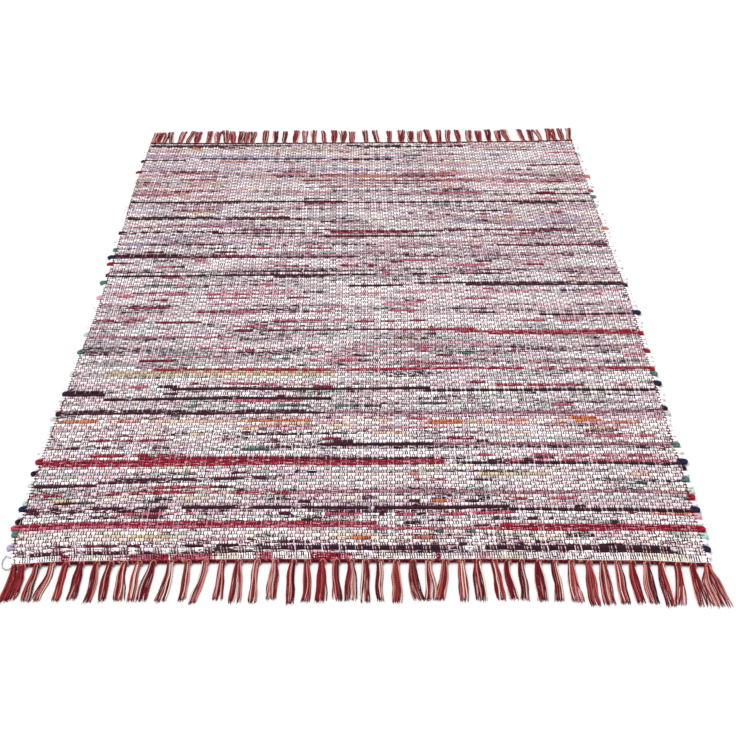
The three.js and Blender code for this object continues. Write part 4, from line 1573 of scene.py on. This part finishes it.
def add_arches(pile, band, sizes, edges, share, row, thick, tint, stand, back):
    """The bodies of warp ends of one form. Each shape's point is a share of its row along, a
    place aside and a height."""
    crest = crest_height(share, row, sizes)
    low = sizes.valley / MM - 0.9 + 0 * crest
    lean = 0.4 * uneven(share * 7919, 61)
    foot = crest - 0.25
    top = crest + stand
    if back:
        shape = [(-0.2, -lean, low)]
        for at, aside in ((0.14, -0.6 * lean), (0.86, 0.6 * lean)):
            shape += [(at, aside - thick / 2, foot), (at, aside, top),
                      (at, aside + thick / 2, foot)]
        shape.append((1.2, lean, low))
        triangles = np.array([(0, 2, 1), (0, 3, 2), (7, 4, 5), (7, 5, 6)])
        quads = np.array([(1, 2, 5, 4), (2, 3, 6, 5)])
    else:
        shape = [(-0.2, -lean, low), (0.5, -thick / 2, foot), (0.5, thick / 2, foot),
                 (0.2, -0.5 * lean, top - 0.2), (0.8, 0.5 * lean, top - 0.2), (1.2, lean, low)]
        triangles = np.array([(0, 3, 1), (0, 2, 3), (1, 3, 4), (2, 4, 3), (5, 1, 4), (5, 4, 2)])
        quads = np.empty((0, 4), int)
    points = np.empty((len(share), len(shape), 3))
    rise = np.empty(points.shape[:2])
    for number, (at, aside, height) in enumerate(shape):
        straight = np.clip((row + at) * ROW, 0.5, FIELD_LONG - 0.5)
        across, along = weave_place(share, straight, sizes, edges)
        points[:, number] = np.stack([across + aside, along, height], axis=-1)
        rise[:, number] = straight
    first = pile.add_points(points)
    base = first + len(shape) * np.arange(len(share))[:, None, None]
    section = np.clip((share * SECTIONS).astype(int), 0, SECTIONS - 1)
    flat = (points[:, :, 0] - points[:, :1, 0]) / FIELD_WIDE + share[:, None]
    spots = bake_place(flat, rise, band, section[:, None])
    lay = np.stack([rise - rise[:, :1], (flat - share[:, None]) * FIELD_WIDE], axis=-1)
    for faces in (triangles, quads):
        if len(faces):
            corners = faces.shape[1]
            pile.add_faces(
                (base + faces[None]).reshape(-1, corners),
                np.repeat(tint, faces.size, axis=0).reshape(-1, corners, 3),
                lay[:, faces].reshape(-1, corners, 2),
                spots[:, faces].reshape(-1, corners, 2),
            )


class RUG_OT_warp(bpy.types.Operator):
    """Lays the fine warp ends and the thicker edge warps over the wefts"""

    bl_idname = "rug.warp"
    bl_label = "Warp ends"

    def execute(self, context):
        sizes = context.scene.rug_weave
        finish = yarn_finish("warp_cotton", 2.4, 0.0003)
        rags, under, shown = weft_rags()
        cloth = weft_colours(rags, under, shown, context.scene.rug_rags)[0]
        edges = row_edges(rags, sizes)
        for band in range(BANDS):
            pile = Pile()
            add_warp_ends(pile, band, sizes, context.scene.rug_yarns, cloth, edges)
            name = f"warp_ends_{band + 1}"
            warp = show(pile.mesh(name), name, finish, "woven_field")
        return {"FINISHED"}


# Fringes


Tassel = namedtuple("Tassel", "number root lean long tip_half")

# How far a tassel's lean and length vary, what is taken off the room between two tips, and the
# half width of a tip with how far it varies.
LEAN_WANDER = 1.5
LENGTH_WANDER = 3
TIPS_APART = 1.2
TIP_HALF = 6.2
TIP_WANDER = 2.2

# The points along a yarn, as shares of its length, and how thick it is at each of them. A fibre
# has three points. The knots' yarns and the map's width are in millimetres.
YARN_SHARES = (0, 0.05, 0.12, 0.22, 0.35, 0.5, 0.65, 0.8, 0.92, 1.0)
YARN_TAPER = (0.8, 0.9, 1, 1, 1, 1, 1, 1, 0.95, 0.6)
FIBRE_TAPER = (1, 0.9, 0.4)
ARCH_RADIUS = 0.9
WRAP_RADIUS = 1.0
FRINGE_MAP_WIDE = 880

# How far a tassel may bow, sway and part, and how far aside a stray yarn ends.
BOW = 2.4
TASSEL_SWAY = 1.1
PARTING = 2.2
STRAY = 4.5

# The last near tassel fans out wider than the others.
WIDE_TASSEL = ("near", 46)
WIDE_FAN = 1.7


def tassels(end):
    """Each tassel of one end: its knot's place across, its tip's lean, length and half width."""
    kind = CHANCE_OF[end + " tassel"]
    roots = []
    for run in RUNS[end]:
        for place in range(run.tassels):
            root = run.first + (run.last - run.first) * place / (run.tassels - 1)
            number = len(roots) + 1
            lean = LEANS[end].get(number, LEAN_WANDER * float(uneven(number, kind)))
            long = run.long + LENGTH_WANDER * float(uneven(number, kind + 1))
            roots.append((root, lean, long))
    made = []
    for place, (root, lean, long) in enumerate(roots):
        number = place + 1
        beside = [roots[other] for other in (place - 1, place + 1) if 0 <= other < len(roots)]
        room = min(abs(root + lean - one[0] - one[1]) / 2 - TIPS_APART / 2 for one in beside)
        wide = TIP_HALF + TIP_WANDER * float(uneven(number, kind + 2))
        made.append(Tassel(number, root, lean, long, min(wide, room)))
    return made


def header_edge(end, across):
    """Where the field's end lies along the rug, for places across in the rug's frame."""
    straight = 0.0 if end == "near" else float(FIELD_LONG)
    shares = np.linspace(0, 1, 60)
    x, y = field_place(shares, np.full(60, straight))
    return np.interp(across, x, y)


def yarn_order(mix, count, chance):
    """The yarns of a tassel from left to right: mostly reds, often a light or dark one outside."""
    names = [pick(mix, chance)]
    while len(names) < count:
        name = pick(mix, chance)
        if name != names[-1] or (name == "dark_red" and chance.random() < 0.5):
            names.append(name)
    side = 0 if chance.random() < 0.5 else -1
    if chance.random() < 0.6:
        names[side] = "salmon" if chance.random() < 0.5 else "beige"
    if chance.random() < 0.4:
        names[-1 - side] = "brown_black"
    return names


def tassel_yarns(end, tassel, sizes, colours, chance):
    """Paths and colours of one tassel's yarns, from inside its knot to their cut ends."""
    out = -1 if end == "near" else 1
    count = int(sizes.yarns + chance.integers(-1, 2))
    radius = sizes.yarn_radius / MM
    share = np.array(YARN_SHARES)
    x = tassel.root - MIDDLE_ACROSS - 0.8
    start = float(header_edge(end, x)) + out * (PART_GAP + HEADER_WIDE - 1.5)
    bow = BOW * chance.uniform(-1, 1)
    sway = TASSEL_SWAY * chance.uniform(-1, 1)
    parting = chance.uniform(-0.5, 0.5)
    parted = PARTING * max(chance.uniform(-1, 1), 0)
    cut = 1.02 - 0.07 * chance.random()
    mix = dict(YARN_MIX)
    if tassel.number in PALE_TASSELS[end]:
        mix.update(beige=5, brown_black=5)
    fan = WIDE_FAN if (end, tassel.number) == WIDE_TASSEL else 1.0
    names = yarn_order(mix, count, chance)
    stray = chance.integers(count) if chance.random() < 0.4 else -1
    paths = []
    tints = []
    for yarn, name in enumerate(names):
        slot = 2 * (yarn + 0.5) / count - 1
        upper = yarn % 2
        half = sizes.neck_half / MM * 0.9
        tip = max(tassel.tip_half + 1.5 - 0.5 * parted, 4.8) * fan
        spread = half + (tip - half) * smooth_step(share / 0.45)
        turn = chance.uniform(0, 2 * math.pi)
        wave = 0.8 * np.sin(2 * np.pi * share * chance.uniform(0.8, 2.2) + turn) * share ** 0.5
        drop = 0.7 * chance.uniform(-1, 1) * share ** 2
        if yarn == stray:
            drop = drop + math.copysign(STRAY, slot) * smooth_step((share - 0.35) / 0.65)
        drop = drop + math.copysign(parted, slot - parting) * smooth_step((share - 0.3) / 0.7)
        middle = (x + tassel.lean * share ** 1.3 + bow * np.sin(np.pi * share)
                  + sway * np.sin(2 * np.pi * share))
        across = middle + slot * spread + wave + drop
        long = tassel.long * (cut - 0.06 * chance.random())
        along = start + out * long * share
        settle = smooth_step(share / 0.3)
        high = 3.6 + 1.7 * (2 * upper - 1)
        rest = radius + upper * 1.6 * (1 - 0.5 * share) + 0.15
        height = high + (rest - high) * settle
        paths.append(np.stack([across, along, height], axis=-1))
        tint = np.array(getattr(colours, name))
        deepest = 0.75 if name in ("salmon", "beige") else 0.5
        tints.append(tint * chance.uniform(deepest, 1.9 - deepest))
    return np.array(paths), np.array(tints)


def loose_fibres(paths, tints, chance):
    """A thin fibre that splays from the cut end of each yarn."""
    fibres = []
    for path in paths:
        way = path[-1] - path[-2]
        way /= np.linalg.norm(way)
        swing = chance.uniform(-0.45, 0.45)
        ahead = np.array([way[0] * math.cos(swing) - way[1] * math.sin(swing),
                          way[0] * math.sin(swing) + way[1] * math.cos(swing), 0])
        long = chance.uniform(3, 8)
        start = path[-1] + np.array([chance.uniform(-0.5, 0.5), 0, 0]) - ahead * 2
        middle = start + ahead * long * 0.5
        tip = start + ahead * long + np.array([chance.uniform(-0.8, 0.8), 0, 0])
        low = max(float(path[-1][2]) * 0.6, 0.5)
        fibres.append([(start[0], start[1], path[-1][2]), (middle[0], middle[1], low),
                       (tip[0], tip[1], 0.45)])
    return np.array(fibres), tints * 1.05


def knot_yarns(end, tassel, colours, chance):
    """The two yarns that arch over the header cord and the one wound round the tassel's neck."""
    out = -1 if end == "near" else 1
    x = tassel.root - MIDDLE_ACROSS + 2.0
    outer = float(header_edge(end, x)) + out * (PART_GAP + HEADER_WIDE)
    swing = np.pi * np.linspace(0.06, 1.12, 11)
    rise = np.clip(np.sin(swing), -0.4, 1)
    arches = []
    for scale in (1.0, 0.6):
        across = x + 0.8 * (1 - scale) - 4.2 * scale * np.cos(swing)
        along = outer + out * (1.6 - 5.8 * scale * rise)
        height = 3.4 + 3.9 * np.clip(rise, 0, 1) ** 0.5 - (1 - scale) * 0.8
        arches.append(np.stack([across, along, height], axis=-1))
    turn = np.linspace(-0.75 * np.pi, 1.25 * np.pi, 12) + np.pi
    across = x - 2.8 + 3.5 * np.sin(turn)
    along = outer + out * (1.4 + 1.8 * np.sin(turn / 2))
    wrap = np.stack([across, along, 3.5 - 2.2 * np.cos(turn)], axis=-1)
    names = ("salmon", "brick" if chance.random() < 0.6 else "clay", "dark_red")
    tints = [np.array(getattr(colours, name)) * chance.uniform(0.8, 1.1) for name in names]
    return np.array(arches), wrap[None], np.array(tints)


def header_strands(end, sizes, colours):
    """The strands of the twined cord along one end of the field."""
    out = -1 if end == "near" else 1
    steps = 560
    share = np.linspace(0.001, 0.999, steps)
    straight = np.full(steps, 0.0 if end == "near" else float(FIELD_LONG))
    x, y = field_place(share, straight)
    turn = 2 * np.pi * x / (sizes.cord_pitch / MM)
    strands = []
    for phase in (0, math.pi):
        along = y + out * (PART_GAP + HEADER_WIDE / 2) + 1.5 * np.cos(turn + phase)
        height = 3.6 + 1.5 * np.sin(turn + phase)
        strands.append(np.stack([x, along, height], axis=-1))
    tints = np.array([colours.dark_red, colours.dark_red]) * np.array([[0.95], [0.6]])
    tints = np.repeat(tints[:, None], steps, axis=1)
    for strand in range(2):
        chance = uneven(np.floor(x / 3.4), 71 + strand)
        tints[strand][chance > 0.72] = np.array(colours.clay) * 0.8
        tints[strand][chance > 0.9] = np.array(colours.salmon) * 0.8
    return np.array(strands), tints


class RUG_OT_fringes(bpy.types.Operator):
    """Twines the header cords and knots the tassels at both ends"""

    bl_idname = "rug.fringes"
    bl_label = "Header cords and fringes"

    def execute(self, context):
        sizes = context.scene.rug_fringe
        colours = context.scene.rug_yarns
        finish = yarn_finish("fringe_cotton", 4.2, 0.0005)
        yarn_radius = sizes.yarn_radius / MM * np.array([YARN_TAPER])
        fibre_radius = sizes.fibre_radius / MM * np.array([FIBRE_TAPER])
        for end in ("near", "far"):
            pile = Pile()
            blocks = Blocks(FRINGE_MAP_WIDE)
            chance = np.random.default_rng(310 if end == "near" else 320)
            strands, tints = header_strands(end, sizes, colours)
            add_tubes(pile, strands, sizes.cord_radius / MM, 6, tints, blocks=blocks)
            for tassel in tassels(end):
                yarns, tints = tassel_yarns(end, tassel, sizes, colours, chance)
                add_tubes(pile, yarns, yarn_radius, 5, tints, blocks=blocks)
                fibres, shades = loose_fibres(yarns, tints, chance)
                add_tubes(pile, fibres, fibre_radius, 3, shades, blocks=blocks)
                arches, wrap, tints = knot_yarns(end, tassel, colours, chance)
                add_tubes(pile, arches, ARCH_RADIUS, 5, tints[:2], blocks=blocks)
                add_tubes(pile, wrap, WRAP_RADIUS, 5, tints[2:] * 0.8, blocks=blocks)
            name = f"{end}_fringe_yarns"
            show(pile.mesh(name), name, finish, f"{end}_fringe")
        return {"FINISHED"}


# Stage


# The camera, in metres and degrees. It is fitted to the field's corners in the photo, and with
# its lens it holds only for the assumed ratio of 2 to 3 between the field's sides.
CAMERA = {"place": (0.0176, -2.6718, 1.5284), "down": 32.553, "left": 0.1, "roll": -0.4043}
FLOOR_WIDE = 90
LIGHT_WAY = (1.0, -1.1, -2.6)


def camera_axes():
    """The camera's right, up and back directions."""
    down = math.radians(CAMERA["down"])
    left = math.radians(CAMERA["left"])
    roll = math.radians(CAMERA["roll"])
    ahead = Vector((-math.sin(left) * math.cos(down), math.cos(left) * math.cos(down),
                    -math.sin(down)))
    right = Vector((math.cos(left), math.sin(left), 0))
    up = right.cross(ahead)
    level = math.cos(roll) * right + math.sin(roll) * up
    above = -math.sin(roll) * right + math.cos(roll) * up
    return level, above, -ahead


class RUG_OT_stage(bpy.types.Operator):
    """Sets the camera, the pale floor and the soft studio light"""

    bl_idname = "rug.stage"
    bl_label = "Camera, floor and light"

    def execute(self, context):
        scene = context.scene
        look = scene.rug_stage
        camera = bpy.data.objects.new("camera", bpy.data.cameras.new("camera"))
        camera.data.lens = look.lens
        camera.data.sensor_width = 36
        camera.data.clip_end = 100
        axes = Matrix(camera_axes()).transposed().to_4x4()
        camera.matrix_world = Matrix.Translation(CAMERA["place"]) @ axes
        scene.collection.objects.link(camera)
        scene.camera = camera
        bpy.ops.mesh.primitive_plane_add(size=FLOOR_WIDE, location=(0, 0, 0))
        floor = context.active_object
        floor.name = "studio_floor"
        paint = Finish("studio_floor_paint")
        place = paint.node("ShaderNodeTexCoord", output="Object")
        grain = paint.noise(place, (3, 3, 3), 2.0)
        colour = paint.scaled(tuple(look.floor), 0.99 + 0.02 * grain)
        shader = paint.node("ShaderNodeBsdfPrincipled", None, {
            "Base Color": colour, "Roughness": 0.9, "Specular IOR Level": 0.1})
        paint.node("ShaderNodeOutputMaterial", None, {"Surface": shader})
        floor.data.materials.append(paint.material)
        lamp = bpy.data.objects.new("soft_lamp", bpy.data.lights.new("soft_lamp", "SUN"))
        lamp.data.energy = look.lamp
        lamp.data.angle = look.softness
        lamp.rotation_euler = Vector(LIGHT_WAY).to_track_quat("-Z", "Y").to_euler()
        scene.collection.objects.link(lamp)
        world = bpy.data.worlds.new("studio_surround")
        world.use_nodes = True
        world.node_tree.nodes["Background"].inputs["Color"].default_value = (1, 1, 1, 1)
        world.node_tree.nodes["Background"].inputs["Strength"].default_value = look.sky
        scene.world = world
        scene.view_settings.view_transform = "Standard"
        return {"FINISHED"}


class RUG_PT_panel(bpy.types.Panel):
    """Lists the rug's colours, sizes and building steps"""

    bl_idname = "RUG_PT_panel"
    bl_label = "Rag rug"
    bl_space_type = "VIEW_3D"
    bl_region_type = "UI"
    bl_category = "Rag rug"

    def draw(self, context):
        scene = context.scene
        for step in STEPS:
            self.layout.operator(step.bl_idname)
        for group in GROUPS:
            box = self.layout.box()
            for name in getattr(scene, group).bl_rna.properties.keys():
                if name not in ("rna_type", "name"):
                    box.prop(getattr(scene, group), name)


STEPS = (RUG_OT_stage, RUG_OT_weft, RUG_OT_warp, RUG_OT_fringes)
GROUPS = {
    "rug_rags": RagColours,
    "rug_yarns": YarnColours,
    "rug_weave": WeaveSizes,
    "rug_fringe": FringeSizes,
    "rug_stage": StageLook,
}


def register():
    """Adds the panel, its steps and their settings to Blender."""
    for kind in (*GROUPS.values(), *STEPS, RUG_PT_panel):
        bpy.utils.register_class(kind)
    for name, group in GROUPS.items():
        setattr(bpy.types.Scene, name, bpy.props.PointerProperty(type=group))


def unregister():
    """Takes them out again."""
    for name in GROUPS:
        delattr(bpy.types.Scene, name)
    for kind in reversed((*GROUPS.values(), *STEPS, RUG_PT_panel)):
        bpy.utils.unregister_class(kind)


def main():
    """Runs every step."""
    register()
    bpy.ops.rug.stage()
    bpy.ops.rug.weft()
    bpy.ops.rug.warp()
    bpy.ops.rug.fringes()


if __name__ == "__main__":
    main()
